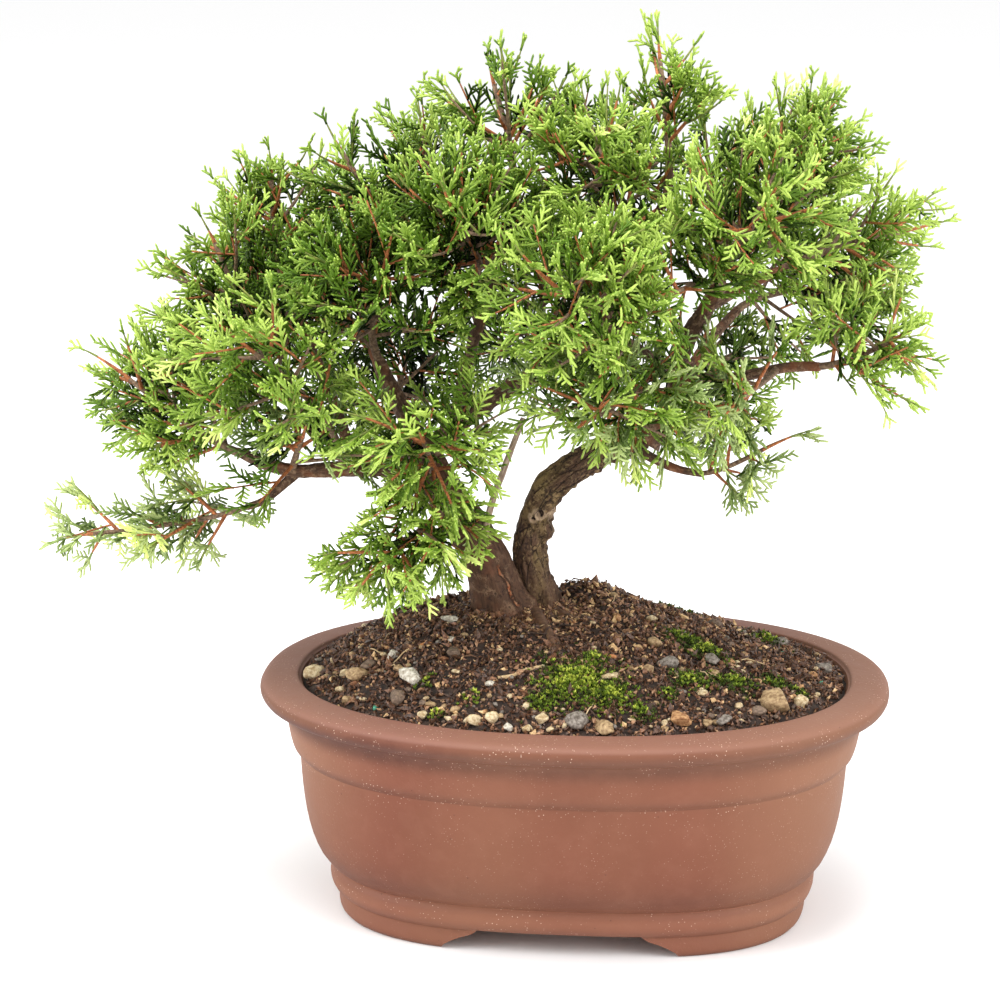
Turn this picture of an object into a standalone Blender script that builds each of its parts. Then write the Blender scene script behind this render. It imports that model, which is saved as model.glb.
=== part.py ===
"""Shimpaku juniper bonsai in its oval pot, with +Z up and the front of the tree towards -Y.

All sizes below are in millimetres, measured from the middle of the pot's foot. The meshes are
made in metres, and the last step moves every piece so that the box round the whole bonsai
stands on the origin.
"""
import math
import random
from dataclasses import dataclass

import bmesh
import bpy
from mathutils import Matrix, Vector
from mathutils.bvhtree import BVHTree

METRES = 0.001
GAP = 0.3
SAFE_GAP = 0.45

# Pot: an oval whose depth is the same amount less than its width at every height
POT_SIDES = 40
DEPTH_LESS = 21.3
FOOT_SQUARENESS = 2.75
RIM_SQUARENESS = 2.2
RIM_HEIGHT = 77.0
RIM_ROLL = 3.2
OPENING_HALF_WIDTH = 89.1
UNDERSIDE = 8.4
FLOOR = 15.5
POT_FOOT = ((75.0, 0.0), (76.2, 1.4), (76.0, 6.2))
POT_BAND_EDGE = (77.8, 7.6)
POT_BAND_MIDDLE = (76.4, 12.0)
POT_BAND_ROLL = 2.5
POT_BELLY = ((79.0, 16.2), (82.8, 21.0), (86.4, 32.5), (88.0, 43.0), (88.7, 51.5))
POT_COLLAR = ((90.4, 54.0), (91.8, 58.0), (93.4, 66.6))
RIM_UNDER = (96.2, 69.2)
RIM_MIDDLE = (98.2, 73.2)
POT_UNDERSIDE = ((62.0, UNDERSIDE), (65.0, 0.0))
POT_INSIDE = ((OPENING_HALF_WIDTH, RIM_HEIGHT), (87.6, 74.0), (81.0, 48.0), (70.0, FLOOR))
ARCH_BELOW = -5.0
ARCH_RISE = ((37.5, ARCH_BELOW), (37.5, 0.0), (34.0, 3.2), (28.0, 5.6), (25.5, 7.8))

# Soil: a mound that fills the pot, with a level place where the trunks stand
GROUND = 97.0
SOIL_EDGE = 75.0
SOIL_HALF_WIDTH = 87.4
MOUND_POWER = 1.6
HUMP = 6.0
HUMP_PLACE = (3.0, 15.0)
HUMP_SPREAD = 17.0
HUMP_FADE = 0.1
TRUNK_PLACE = (-19.0, 1.5)
LEVEL_RADIUS = 20.0
SOIL_RINGS = (0.0, 0.07, 0.18, 0.36, 0.6, 0.82, 1.0)

# Limbs: faceted tubes with a ring at each step; the trunks' rings crowd towards the roots
TRUNK_SIDES = 12
BOUGH_SIDES = 6
RING_STEP = 11.0
FLARE_RINGS = 3
FLARE_CROWDING = 1.35
FLARE_FALL = 4.5
GIRTH_FROM = 0.95
GIRTH_TO = 1.06
ROOT_LOBES = 5
LOBE_SWELL = 0.16
LOBE_FALL = 7.0
CUTTER_SLACK = 0.08
CROWN_HEART = Vector((-25, 0, 175))

# Stems of the foliage masses
STEM_RADII = (1.5, 1.25, 1.0, 0.7)
STEM_BOW = 0.45
STEM_REACH = 0.35
STEM_GAP = 0.2
LIFT_STEP = 0.1
LIFT_MOST = 3.0
AHEAD_STEP = 0.05

# Twigs: each turns on from the one before, and takes a share of the way to the room's edge
TWIGS = 3
TWIG_FIRST = 0.5
TWIG_LAST = 0.92
TWIG_TURN = 137.5
TWIG_FORWARD = 0.3
TWIG_RISE = 0.15
TWIG_RADIUS = 0.9
TWIG_BEND_RADIUS = 0.63
TWIG_SHARE = 0.55
TWIG_SHORTEST = 3.0
TWIG_WANDER = 0.5

# Blades: each stands for a fan of scale-leaved shoots; the outline is along and across
BLADE_LONGEST = 32.0
BLADE_SHORTEST = 10.0
BLADE_SHRINK = 0.9
BLADE_WORTH_TRYING = 0.85
BLADE_WIDTH = 0.86
BLADE_RIDGE = 0.7
BLADE_RIDGE_PLACE = 0.45
BLADE_DROOP = 0.04
BLADE_ROOT = 1.5
TWIG_TIP_ROOT = 3.3
BLADE_GAP = 0.35
BLADE_OUTLINE = ((0.0, 0.0), (0.60, -1.0), (0.68, -0.38), (1.0, 0.0), (0.68, 0.38), (0.60, 1.0))
FACE_JITTER = 0.7
TRIES = 22
WIDER_EACH_TRY = 0.05
TIP_SPREAD = 0.25
STEM_SPREAD = 0.4
TWIG_SPREAD = 0.3
STEM_BLADES = ((0.46, 40), (0.6, 130), (0.74, 220), (0.88, 310))
STEM_BLADE_FORWARD = 0.6
TWIG_BLADE_FORWARD = 0.3

# Rooms of the masses
WALL_REACH = 1.2
RUN_STEP = 1.0
RUN_MOST = 90.0


@dataclass
class Limb:
    """A trunk, leader or bough: its parent, its route, and its radius at the foot and the tip."""
    name: str
    parent: str
    route: tuple
    foot: float
    tip: float
    flare: float = 0.0


@dataclass
class Mass:
    """A mass of foliage: the limb that bears it, where along it, its middle and its reach."""
    name: str
    limb: str
    along: float
    middle: tuple
    reach: tuple


LIMBS = (
    Limb("left_trunk", "", ((-24, 0, 97), (-28.5, -2, 114), (-37, -2, 128), (-46, 0, 142),
                            (-50, 2, 152)), 8.2, 4.6, 2.8),
    Limb("right_trunk", "", ((-12, 8, 97), (-15, 6, 117), (-9, 1, 136),
                             (7, 0, 149), (22, 3, 154)), 5.6, 4.2, 1.6),
    Limb("right_leader", "right_trunk", ((22, 3, 153), (31, 4, 165), (33, 0, 181),
                                         (39, -4, 194), (45, -6, 202)), 4.0, 1.9),
    Limb("low_left_bough", "left_trunk", ((-46, 0, 143), (-69, -8, 144), (-90, -12, 144),
                                          (-107, -14, 150)), 3.0, 1.7),
    Limb("left_runner", "low_left_bough", ((-88, -11, 143), (-97, -14, 135), (-104, -15, 132)),
         1.4, 1.1),
    Limb("mid_left_bough", "left_trunk", ((-49, 1, 150), (-70, 8, 146), (-86, 8, 153),
                                          (-95, 5, 168)), 2.7, 1.5),
    Limb("upper_left_bough", "left_trunk", ((-49, 2, 150), (-56, -3, 166), (-62, -8, 180)),
         2.6, 1.6),
    Limb("left_upright", "mid_left_bough", ((-74, 8, 147), (-82, 12, 168), (-89, 13, 184),
                                            (-94, 12, 196)), 1.8, 1.3),
    Limb("middle_bough", "left_trunk", ((-48, 2, 148), (-31, 8, 162), (-16, 12, 171),
                                        (3, 14, 185), (15, 11, 201)), 3.4, 1.9),
    Limb("apex_leader", "middle_bough", ((13, 11, 198), (22, 8, 219), (28, 6, 232),
                                         (28, 5, 246)), 1.9, 1.2),
    Limb("centre_leader", "middle_bough", ((-39, 5, 155), (-35, 5, 177), (-28, 4, 199),
                                           (-21, 2, 222), (-20, 0, 240)), 2.2, 1.2),
    Limb("right_runner", "right_trunk", ((16, 2, 152), (31, -4, 146), (41, -8, 145)), 1.5, 1.1),
    Limb("right_far_bough", "right_leader", ((32, 2, 172), (50, 2, 174), (66, 0, 178),
                                             (77, -3, 179)), 2.0, 1.3),
    Limb("right_up_bough", "right_leader", ((35, -2, 186), (46, 3, 208), (56, 6, 228)),
         2.0, 1.3),
    Limb("right_out_bough", "right_leader", ((43, -5, 199), (60, 0, 207), (74, 3, 213)),
         1.7, 1.2),
    Limb("front_right_bough", "right_leader", ((33, 1, 177), (27, -16, 182), (20, -32, 190)),
         2.0, 1.3),
    Limb("back_left_bough", "left_trunk", ((-49, 2, 149), (-62, 22, 162), (-72, 40, 176)),
         2.4, 1.4),
    Limb("back_right_bough", "right_leader", ((31, 3, 167), (40, 22, 180), (50, 38, 190)),
         2.2, 1.4),
    Limb("thin_stem", "left_trunk", ((-28, -1, 112), (-27.5, -8, 127), (-22, -8, 145),
                                     (-16, -5, 161)), 1.2, 0.9),
)

MASSES = (
    Mass("tail", "left_runner", 1.0, (-134, -18, 125), (43, 22, 17)),
    Mass("left_tip", "low_left_bough", 1.0, (-130, -14, 167), (29, 28, 22)),
    Mass("left_fan", "low_left_bough", 0.4, (-90, -40, 181), (27, 25, 22)),
    Mass("left_underside", "low_left_bough", 0.65, (-86, -20, 153), (27, 26, 15)),
    Mass("upper_left", "mid_left_bough", 1.0, (-110, 0, 203), (27, 28, 29)),
    Mass("left_crown", "left_upright", 1.0, (-97, 10, 225), (24, 28, 21)),
    Mass("top_left", "centre_leader", 0.5, (-66, 0, 237), (25, 28, 23)),
    Mass("centre_left", "upper_left_bough", 1.0, (-58, -26, 201), (25, 25, 28)),
    Mass("centre", "centre_leader", 0.6, (-31, -24, 222), (23, 26, 24)),
    Mass("spike", "centre_leader", 1.0, (-24, 3, 254), (23, 25, 25)),
    Mass("top_right_centre", "apex_leader", 0.6, (4, -8, 242), (21, 26, 23)),
    Mass("apex", "apex_leader", 1.0, (26, 5, 261), (17, 22, 27)),
    Mass("right_top", "right_up_bough", 1.0, (65, 2, 244), (28, 28, 20)),
    Mass("right_upper", "right_up_bough", 0.6, (56, -30, 228), (23, 25, 21)),
    Mass("middle_right", "right_leader", 1.0, (35, -32, 206), (21, 23, 21)),
    Mass("bright_front", "front_right_bough", 1.0, (5, -46, 204), (24, 24, 25)),
    Mass("right", "right_out_bough", 1.0, (89, 2, 218), (29, 28, 22)),
    Mass("right_end", "right_far_bough", 1.0, (90, -12, 187), (26, 28, 20)),
    Mass("low_front", "front_right_bough", 0.5, (14, -32, 171), (29, 26, 16)),
    Mass("right_low", "right_far_bough", 0.6, (57, -18, 175), (24, 26, 17)),
    Mass("low_right", "right_runner", 1.0, (50, -10, 151), (25, 22, 14)),
    Mass("hanging_front", "left_trunk", 0.74, (-43, -38, 158), (26, 24, 22)),
    Mass("hanging_low", "left_trunk", 0.56, (-51, -34, 125), (28, 22, 20)),
    Mass("back_left", "back_left_bough", 1.0, (-94, 52, 192), (32, 34, 28)),
    Mass("back_left_low", "back_left_bough", 0.6, (-66, 56, 162), (27, 30, 19)),
    Mass("back_top_left", "centre_leader", 0.4, (-50, 44, 222), (28, 32, 28)),
    Mass("back_centre", "middle_bough", 0.55, (-14, 58, 190), (29, 32, 27)),
    Mass("back_top", "apex_leader", 0.25, (4, 42, 234), (26, 30, 27)),
    Mass("back_right_top", "right_up_bough", 0.4, (50, 44, 230), (28, 31, 27)),
    Mass("back_right", "back_right_bough", 1.0, (78, 48, 194), (29, 34, 26)),
    Mass("back_right_low", "back_right_bough", 0.55, (36, 52, 164), (27, 31, 20)),
)


def remove_everything():
    for piece in list(bpy.data.objects):
        bpy.data.objects.remove(piece, do_unlink=True)


def principled(name, colour, roughness):
    """A plain Principled material; the colour is linear RGB."""
    material = bpy.data.materials.new(name)
    material.use_nodes = True
    shader = material.node_tree.nodes["Principled BSDF"]
    shader.inputs["Base Color"].default_value = (*colour, 1.0)
    shader.inputs["Roughness"].default_value = roughness
    shader.inputs["Metallic"].default_value = 0.0
    material.diffuse_color = (*colour, 1.0)
    return material


def piece_from_rings(name, rings, material):
    """A closed solid through rings of equally many points, in order from its start to its end."""
    shape = bmesh.new()
    rows = [[shape.verts.new(Vector(p) * METRES) for p in ring] for ring in rings]
    count = len(rows[0])
    for low, high in zip(rows, rows[1:]):
        for i in range(count):
            j = (i + 1) % count
            shape.faces.new((low[i], low[j], high[j], high[i]))
    shape.faces.new(reversed(rows[0]))
    shape.faces.new(rows[-1])
    bmesh.ops.triangulate(shape, faces=shape.faces[:])
    bmesh.ops.recalc_face_normals(shape, faces=shape.faces[:])
    return piece_from_bmesh(name, shape, material)


def piece_from_bmesh(name, shape, material):
    mesh = bpy.data.meshes.new(name)
    shape.to_mesh(mesh)
    shape.free()
    mesh.materials.append(material)
    piece = bpy.data.objects.new(name, mesh)
    bpy.context.scene.collection.objects.link(piece)
    return piece


def apply_modifiers(piece):
    """Bakes the piece's modifiers into its mesh."""
    graph = bpy.context.evaluated_depsgraph_get()
    mesh = bpy.data.meshes.new_from_object(piece.evaluated_get(graph))
    piece.modifiers.clear()
    piece.data = mesh


def cut(piece, cutter):
    """Takes the cutter's space out of the piece, and removes the cutter."""
    cutter.hide_render = True
    cutter.display_type = "WIRE"
    boolean = piece.modifiers.new("cut", "BOOLEAN")
    boolean.operation = "DIFFERENCE"
    boolean.object = cutter
    apply_modifiers(piece)
    bpy.data.objects.remove(cutter, do_unlink=True)


def keep_largest_body(piece):
    """Drops loose scraps and the inner skins of sealed hollows."""
    shape = bmesh.new()
    shape.from_mesh(piece.data)
    seen = set()
    bodies = []
    for face in shape.faces:
        if face in seen:
            continue
        body = [face]
        seen.add(face)
        for reached in body:
            for edge in reached.edges:
                for other in edge.link_faces:
                    if other not in seen:
                        seen.add(other)
                        body.append(other)
        bodies.append(body)
    bodies.sort(key=len)
    for body in bodies[:-1]:
        bmesh.ops.delete(shape, geom=body, context="FACES")
    bmesh.ops.triangulate(shape, faces=shape.faces[:])
    shape.to_mesh(piece.data)
    shape.free()


def oval(half_width, height, squareness):
    """A level ring of the pot's plan; squareness 2 is an ellipse, and more is squarer."""
    half_depth = half_width - DEPTH_LESS
    ring = []
    for i in range(POT_SIDES):
        turn = 2 * math.pi * i / POT_SIDES
        across = math.copysign(abs(math.cos(turn)) ** (2 / squareness), math.cos(turn))
        deep = math.copysign(abs(math.sin(turn)) ** (2 / squareness), math.sin(turn))
        ring.append((half_width * across, half_depth * deep, height))
    return ring


def squareness_at(height):
    """The foot is a little squarer in plan than the rim."""
    share = min(1.0, height / RIM_HEIGHT)
    return FOOT_SQUARENESS + (RIM_SQUARENESS - FOOT_SQUARENESS) * share


def arc(middle, radius, start, end, steps):
    """Points of half-width and height on an arc, with its angles in degrees."""
    points = []
    for i in range(steps + 1):
        turn = math.radians(start + (end - start) * i / steps)
        points.append((middle[0] + radius * math.cos(turn), middle[1] + radius * math.sin(turn)))
    return points


def make_pot(material):
    """The pot, from the underside out to the foot, up to the rim and down to the floor."""
    band = [POT_BAND_EDGE, *arc(POT_BAND_MIDDLE, POT_BAND_ROLL, -20, 60, 2)]
    rim = [RIM_UNDER, *arc(RIM_MIDDLE, RIM_ROLL, -75, 75, 3)]
    profile = [*POT_UNDERSIDE, *POT_FOOT, *band, *POT_BELLY, *POT_COLLAR, *rim, *POT_INSIDE]
    rings = [oval(half_width, height, squareness_at(height)) for half_width, height in profile]
    pot = piece_from_rings("pot", rings, material)
    cut(pot, foot_arch(material))
    keep_largest_body(pot)
    return pot


def foot_arch(material):
    """The ogee opening that runs under the pot from front to back, between its two feet."""
    outline = [*ARCH_RISE, *((-x, z) for x, z in reversed(ARCH_RISE))]
    reach = OPENING_HALF_WIDTH
    rings = [[(x, y, z) for x, z in outline] for y in (-reach, reach)]
    return piece_from_rings("foot_arch", rings, material)


def soil_height(x, y, share):
    """The mound's height; share is 0 at the edge of the level place and 1 at the wall."""
    mound = SOIL_EDGE + (GROUND - GAP - SOIL_EDGE) * (1 - share ** MOUND_POWER)
    away = math.dist((x, y), HUMP_PLACE) / HUMP_SPREAD
    rise = min(1.0, share / HUMP_FADE)
    return mound + HUMP * rise * math.exp(-away * away)


def make_soil(material):
    rings = []
    for half_width, height in reversed(POT_INSIDE):
        if height < SOIL_EDGE:
            inset = half_width - SAFE_GAP
            rings.append(oval(inset, height, squareness_at(height)))
    rings[0] = [(x, y, z + GAP) for x, y, z in rings[0]]
    edge = oval(SOIL_HALF_WIDTH, SOIL_EDGE, squareness_at(SOIL_EDGE))
    for share in reversed(SOIL_RINGS):
        ring = []
        for x, y, _ in edge:
            turn = math.atan2(y, x)
            level_x = TRUNK_PLACE[0] + LEVEL_RADIUS * math.cos(turn)
            level_y = TRUNK_PLACE[1] + LEVEL_RADIUS * math.sin(turn)
            px = level_x + (x - level_x) * share
            py = level_y + (y - level_y) * share
            ring.append((px, py, soil_height(px, py, share)))
        rings.append(ring)
    return piece_from_rings("soil", rings, material)


def smooth_point(route, share):
    """A point of the Catmull-Rom curve through the route, share 0 to 1 along it."""
    points = [Vector(p) for p in route]
    points = [2 * points[0] - points[1]] + points + [2 * points[-1] - points[-2]]
    place = share * (len(points) - 3)
    i = min(int(place), len(points) - 4)
    t = place - i
    a, b, c, d = points[i:i + 4]
    return 0.5 * (2 * b + (c - a) * t + (2 * a - 5 * b + 4 * c - d) * t * t
                  + (3 * b - a - 3 * c + d) * t * t * t)


def route_length(route):
    return sum((Vector(b) - Vector(a)).length for a, b in zip(route, route[1:]))


def square_to(along, toward):
    """The part of the second vector that is square to the first, at unit length."""
    side = toward - along * toward.dot(along)
    if side.length < 0.01:
        side = along.orthogonal()
    return side.normalized()


def tube_rings(centres, radii, sides, level_foot=False, shape=None):
    """Rings of points round a line of centres, carried along without twist."""
    rings = []
    side = Vector((1, 0, 0))
    for i, centre in enumerate(centres):
        before = centres[max(i - 1, 0)]
        after = centres[min(i + 1, len(centres) - 1)]
        along = (after - before).normalized()
        if level_foot and i == 0:
            along = Vector((0, 0, 1))
        side = square_to(along, side)
        across = along.cross(side)
        ring = []
        for k in range(sides):
            turn = 2 * math.pi * k / sides
            radius = radii[i] * (shape(i, turn) if shape else 1.0)
            ring.append(centre + side * radius * math.cos(turn) + across * radius * math.sin(turn))
        rings.append(ring)
    return rings


def limb_rings(limb, swell=0.0):
    """Rings of one limb; swell widens it, which makes the cutter that fits a child to it."""
    rng = random.Random(limb.name)
    steps = max(3, round(route_length(limb.route) / RING_STEP))
    if limb.flare:
        steps += FLARE_RINGS
    centres = []
    radii = []
    for i in range(steps + 1):
        share = i / steps
        if limb.flare:
            share = share ** FLARE_CROWDING
        centre = smooth_point(limb.route, share)
        radius = limb.foot + (limb.tip - limb.foot) * share
        height = centre.z - limb.route[0][2]
        radius += limb.flare * math.exp(-height / FLARE_FALL)
        centres.append(centre)
        radii.append(radius * rng.uniform(GIRTH_FROM, GIRTH_TO) + swell)
    lobe_turn = rng.uniform(0, 2 * math.pi)

    def bark(i, turn):
        if not limb.flare:
            return 1.0
        lobes = LOBE_SWELL * math.exp(-(centres[i].z - GROUND) / LOBE_FALL)
        return 1 + lobes * math.cos(ROOT_LOBES * turn + lobe_turn)

    sides = TRUNK_SIDES if limb.flare else BOUGH_SIDES
    return tube_rings(centres, radii, sides, bool(limb.flare), bark)


def make_limb(limb, neighbours, material):
    """One limb, cut with a thin gap to the bark of its parent and of limbs that start beside it."""
    piece = piece_from_rings(limb.name, limb_rings(limb), material)
    for neighbour in neighbours:
        cutter = piece_from_rings("cutter", limb_rings(neighbour, GAP + CUTTER_SLACK), material)
        cut(piece, cutter)
    keep_largest_body(piece)
    return piece


def tree_of(piece):
    shape = bmesh.new()
    shape.from_mesh(piece.data)
    tree = BVHTree.FromBMesh(shape)
    shape.free()
    return tree


class Space:
    """The room of one mass: its own ellipsoid, less what lies nearer to the other masses."""

    def __init__(self, mass, masses):
        self.middle = Vector(mass.middle)
        self.reach = Vector(mass.reach)
        self.walls = []
        for other in masses:
            if other is mass:
                continue
            away = Vector(other.middle) - self.middle
            distance = away.length
            own = sum(mass.reach) / 3
            others = sum(other.reach) / 3
            wall = (distance * distance + own * own - others * others) / (2 * distance)
            if wall < max(mass.reach) * WALL_REACH:
                self.walls.append((away / distance, wall - SAFE_GAP))

    def depth(self, point):
        """How far inside the room the point is, in millimetres; less than 0 is outside."""
        away = point - self.middle
        scaled = Vector(a / r for a, r in zip(away, self.reach))
        inside = (1 - scaled.length) * min(self.reach)
        return min([inside] + [wall - away.dot(out) for out, wall in self.walls])

    def run(self, start, direction):
        """How far one can go from the start before leaving the room."""
        length = 0.0
        while length < RUN_MOST and self.depth(start + direction * (length + RUN_STEP)) > 0:
            length += RUN_STEP
        return length


def blade(start, along, normal, length):
    """A blade with three teeth and a low ridge, for one fan of shoots; its back is nearly flat."""
    normal = square_to(along, normal)
    across = normal.cross(along)
    half = length * BLADE_WIDTH / 2
    points = []
    for reach, side in BLADE_OUTLINE:
        droop = normal * (abs(side) * BLADE_DROOP * length)
        points.append(start + along * reach * length + across * side * half - droop)
    ridge = len(points)
    points.append(start + along * BLADE_RIDGE_PLACE * length + normal * BLADE_RIDGE)
    faces = [(i, (i + 1) % ridge, ridge) for i in range(ridge)]
    faces += [(1, 0, 5), (2, 1, 5), (4, 2, 5), (3, 2, 4)]
    return points, faces


def twig(start, bend, end):
    """A three-sided twig that tapers to a point, with one bend."""
    rings = tube_rings([start, bend], [TWIG_RADIUS, TWIG_BEND_RADIUS], 3)
    points = rings[0] + rings[1] + [end]
    faces = [(2, 1, 0)]
    for i in range(3):
        j = (i + 1) % 3
        faces.append((i, j, j + 3))
        faces.append((i, j + 3, i + 3))
        faces.append((i + 3, j + 3, 6))
    return points, faces


def solid_from(points, faces, material):
    shape = bmesh.new()
    verts = [shape.verts.new(p * METRES) for p in points]
    for face in faces:
        shape.faces.new([verts[i] for i in face])
    bmesh.ops.recalc_face_normals(shape, faces=shape.faces[:])
    return piece_from_bmesh("leafy_bit", shape, material)


def clear_of(points, faces, trees, gap=BLADE_GAP):
    """True where the shape keeps the gap to every solid in the list."""
    own = BVHTree.FromPolygons([p * METRES for p in points], faces)
    for tree in trees:
        if own.overlap(tree):
            return False
        for point in points:
            if tree.find_nearest(point * METRES, gap * METRES)[0] is not None:
                return False
    return True


def spring_point(limb, share, toward):
    """Where a stem leaves a limb, and the direction in which it starts."""
    place = smooth_point(limb.route, share)
    ahead = (place - smooth_point(limb.route, share - AHEAD_STEP)).normalized()
    radius = limb.foot + (limb.tip - limb.foot) * share
    if share == 1.0:
        return place + ahead * GAP, ahead
    out = square_to(ahead, toward - place)
    return place + out * (radius + GAP), out


def stem_solid(mass, limb, trees):
    """The stem of one mass, from its limb to beyond the middle of its room."""
    middle = Vector(mass.middle)
    start, out = spring_point(limb, mass.along, middle)
    inward = (middle - start).normalized()
    far = middle + Vector(a * r for a, r in zip(inward, mass.reach)) * STEM_REACH
    thick = min(STEM_RADII[0], limb.tip) if mass.along == 1 else STEM_RADII[0]
    lift = 0.0
    while True:
        root = start + out * lift
        control = root + out * (middle - root).length * STEM_BOW
        line = []
        for i in range(4):
            t = i / 3
            line.append(root * (1 - t) ** 2 + control * 2 * t * (1 - t) + far * t * t)
        rings = tube_rings(line, [thick, *STEM_RADII[1:]], 3)
        points = [p for ring in rings for p in ring]
        faces = [(2, 1, 0), (9, 10, 11)]
        for row in (0, 3, 6):
            for k in range(3):
                low = row + k
                beside = row + (k + 1) % 3
                faces += [(low, beside, beside + 3), (low, beside + 3, low + 3)]
        if clear_of(points, faces, trees, STEM_GAP) or lift > LIFT_MOST:
            return line, points, faces
        lift += LIFT_STEP


def grow(mass, room, line, trees):
    """Twigs and blades of one mass, as points and faces; each keeps to the room."""
    rng = random.Random(mass.name)
    bits = []
    blade_trees = []

    def on_stem(share):
        place = share * (len(line) - 1)
        i = min(int(place), len(line) - 2)
        return line[i].lerp(line[i + 1], place - i)

    def jitter(amount):
        return Vector(rng.uniform(-amount, amount) for _ in range(3))

    def add_blade(start, along, spread):
        """Tries directions near the wanted one until a blade fits, and keeps the longest."""
        best = None
        for attempt in range(TRIES):
            aim = (along + jitter(spread + WIDER_EACH_TRY * attempt)).normalized()
            face = (start - CROWN_HEART).normalized() + jitter(FACE_JITTER)
            length = min(BLADE_LONGEST, room.run(start, aim))
            if best and length * BLADE_WORTH_TRYING < best[0]:
                continue
            while length > BLADE_SHORTEST:
                points, faces = blade(start, aim, face, length)
                if min(room.depth(p) for p in points[1:]) > 0:
                    break
                length *= BLADE_SHRINK
            if length <= BLADE_SHORTEST or (best and length < best[0]):
                continue
            own = BVHTree.FromPolygons([p * METRES for p in points], faces)
            if clear_of(points, faces, trees) and not any(map(own.overlap, blade_trees)):
                best = (length, points, faces, own)
        if best:
            bits.append(best[1:3])
            blade_trees.append(best[3])

    heading = (line[-1] - line[-2]).normalized()
    add_blade(line[-1] - heading * BLADE_ROOT, heading, TIP_SPREAD)
    side = heading.orthogonal().normalized()
    turn = rng.uniform(0, 360)
    for share, lean in STEM_BLADES:
        radial = Matrix.Rotation(math.radians(turn + lean), 3, heading) @ side
        add_blade(on_stem(share), radial + heading * STEM_BLADE_FORWARD, STEM_SPREAD)
    for i in range(TWIGS):
        start = on_stem(TWIG_FIRST + (TWIG_LAST - TWIG_FIRST) * i / (TWIGS - 1))
        turn += TWIG_TURN
        radial = Matrix.Rotation(math.radians(turn), 3, heading) @ side
        aim = (radial + heading * TWIG_FORWARD + Vector((0, 0, TWIG_RISE))).normalized()
        length = room.run(start, aim) * TWIG_SHARE
        if length < TWIG_SHORTEST:
            continue
        end = start + aim * length
        bend = start.lerp(end, 0.5) + jitter(TWIG_WANDER)
        points, faces = twig(start, bend, end)
        if min(room.depth(p) for p in points) < 0 or not clear_of(points, faces, trees):
            continue
        bits.append((points, faces))
        lean = heading.cross(radial) * rng.choice((-1, 1))
        add_blade(end - aim * TWIG_TIP_ROOT, aim, TWIG_SPREAD)
        add_blade(bend.lerp(end, 0.5), aim * TWIG_BLADE_FORWARD + lean, TWIG_SPREAD)
        add_blade(bend, aim * TWIG_BLADE_FORWARD - lean, TWIG_SPREAD)
    return bits


def fuse(name, stem, bits, material):
    """Joins the stem, twigs and blades of a mass into one closed body."""
    parts = bpy.data.collections.new("bits")
    bpy.context.scene.collection.children.link(parts)
    piece = solid_from(*stem, material)
    piece.name = name
    piece.data.name = name
    for points, faces in bits:
        bit = solid_from(points, faces, material)
        bpy.context.scene.collection.objects.unlink(bit)
        parts.objects.link(bit)
    boolean = piece.modifiers.new("join", "BOOLEAN")
    boolean.operation = "UNION"
    boolean.operand_type = "COLLECTION"
    boolean.collection = parts
    boolean.solver = "MANIFOLD"
    apply_modifiers(piece)
    for bit in list(parts.objects):
        bpy.data.objects.remove(bit, do_unlink=True)
    bpy.data.collections.remove(parts)
    keep_largest_body(piece)
    return piece


def make_masses(limbs, limb_pieces, material):
    """All masses: the stems first, so that no mass grows through another's stem."""
    limb_trees = [tree_of(piece) for piece in limb_pieces]
    stems = []
    stem_trees = []
    for mass in MASSES:
        line, points, faces = stem_solid(mass, limbs[mass.limb], limb_trees + stem_trees)
        stems.append((line, (points, faces)))
        stem_trees.append(BVHTree.FromPolygons([p * METRES for p in points], faces))
    for index, mass in enumerate(MASSES):
        others = stem_trees[:index] + stem_trees[index + 1:]
        line, stem = stems[index]
        bits = grow(mass, Space(mass, MASSES), line, limb_trees + others)
        fuse(mass.name, stem, bits, material)


def stand_on_origin():
    """Moves every piece so that the box round all of them stands centred on the origin."""
    corners = []
    for piece in bpy.data.objects:
        corners += [vertex.co for vertex in piece.data.vertices]
    low = Vector(min(c[i] for c in corners) for i in range(3))
    high = Vector(max(c[i] for c in corners) for i in range(3))
    shift = Vector((-(low.x + high.x) / 2, -(low.y + high.y) / 2, -low.z))
    for piece in bpy.data.objects:
        piece.location = shift


def main():
    remove_everything()
    clay = principled("unglazed_red_clay", (0.37, 0.155, 0.10), 0.7)
    earth = principled("potting_soil", (0.045, 0.026, 0.018), 0.95)
    trunk_bark = principled("trunk_bark", (0.10, 0.055, 0.040), 0.85)
    bough_bark = principled("bough_bark", (0.16, 0.085, 0.055), 0.8)
    green = principled("juniper_green", (0.12, 0.30, 0.035), 0.6)
    make_pot(clay)
    make_soil(earth)
    limbs = {}
    limb_pieces = []
    for limb in LIMBS:
        neighbours = [other for other in limbs.values()
                      if other.name == limb.parent or other.parent == limb.parent]
        bark = trunk_bark if limb.flare else bough_bark
        limb_pieces.append(make_limb(limb, neighbours, bark))
        limbs[limb.name] = limb
    make_masses(limbs, limb_pieces, green)
    stand_on_origin()


main()
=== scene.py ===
"""Looks of a shimpaku juniper bonsai in its oval clay pot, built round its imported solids.

Sizes are in millimetres from the middle of the pot's foot, with +Z up and the front of the
tree towards -Y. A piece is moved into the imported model's frame when its mesh is made.
"""

import math
import random
from collections import namedtuple

import bmesh
import bpy
import numpy as np
from mathutils import Matrix, Vector, noise


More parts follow.
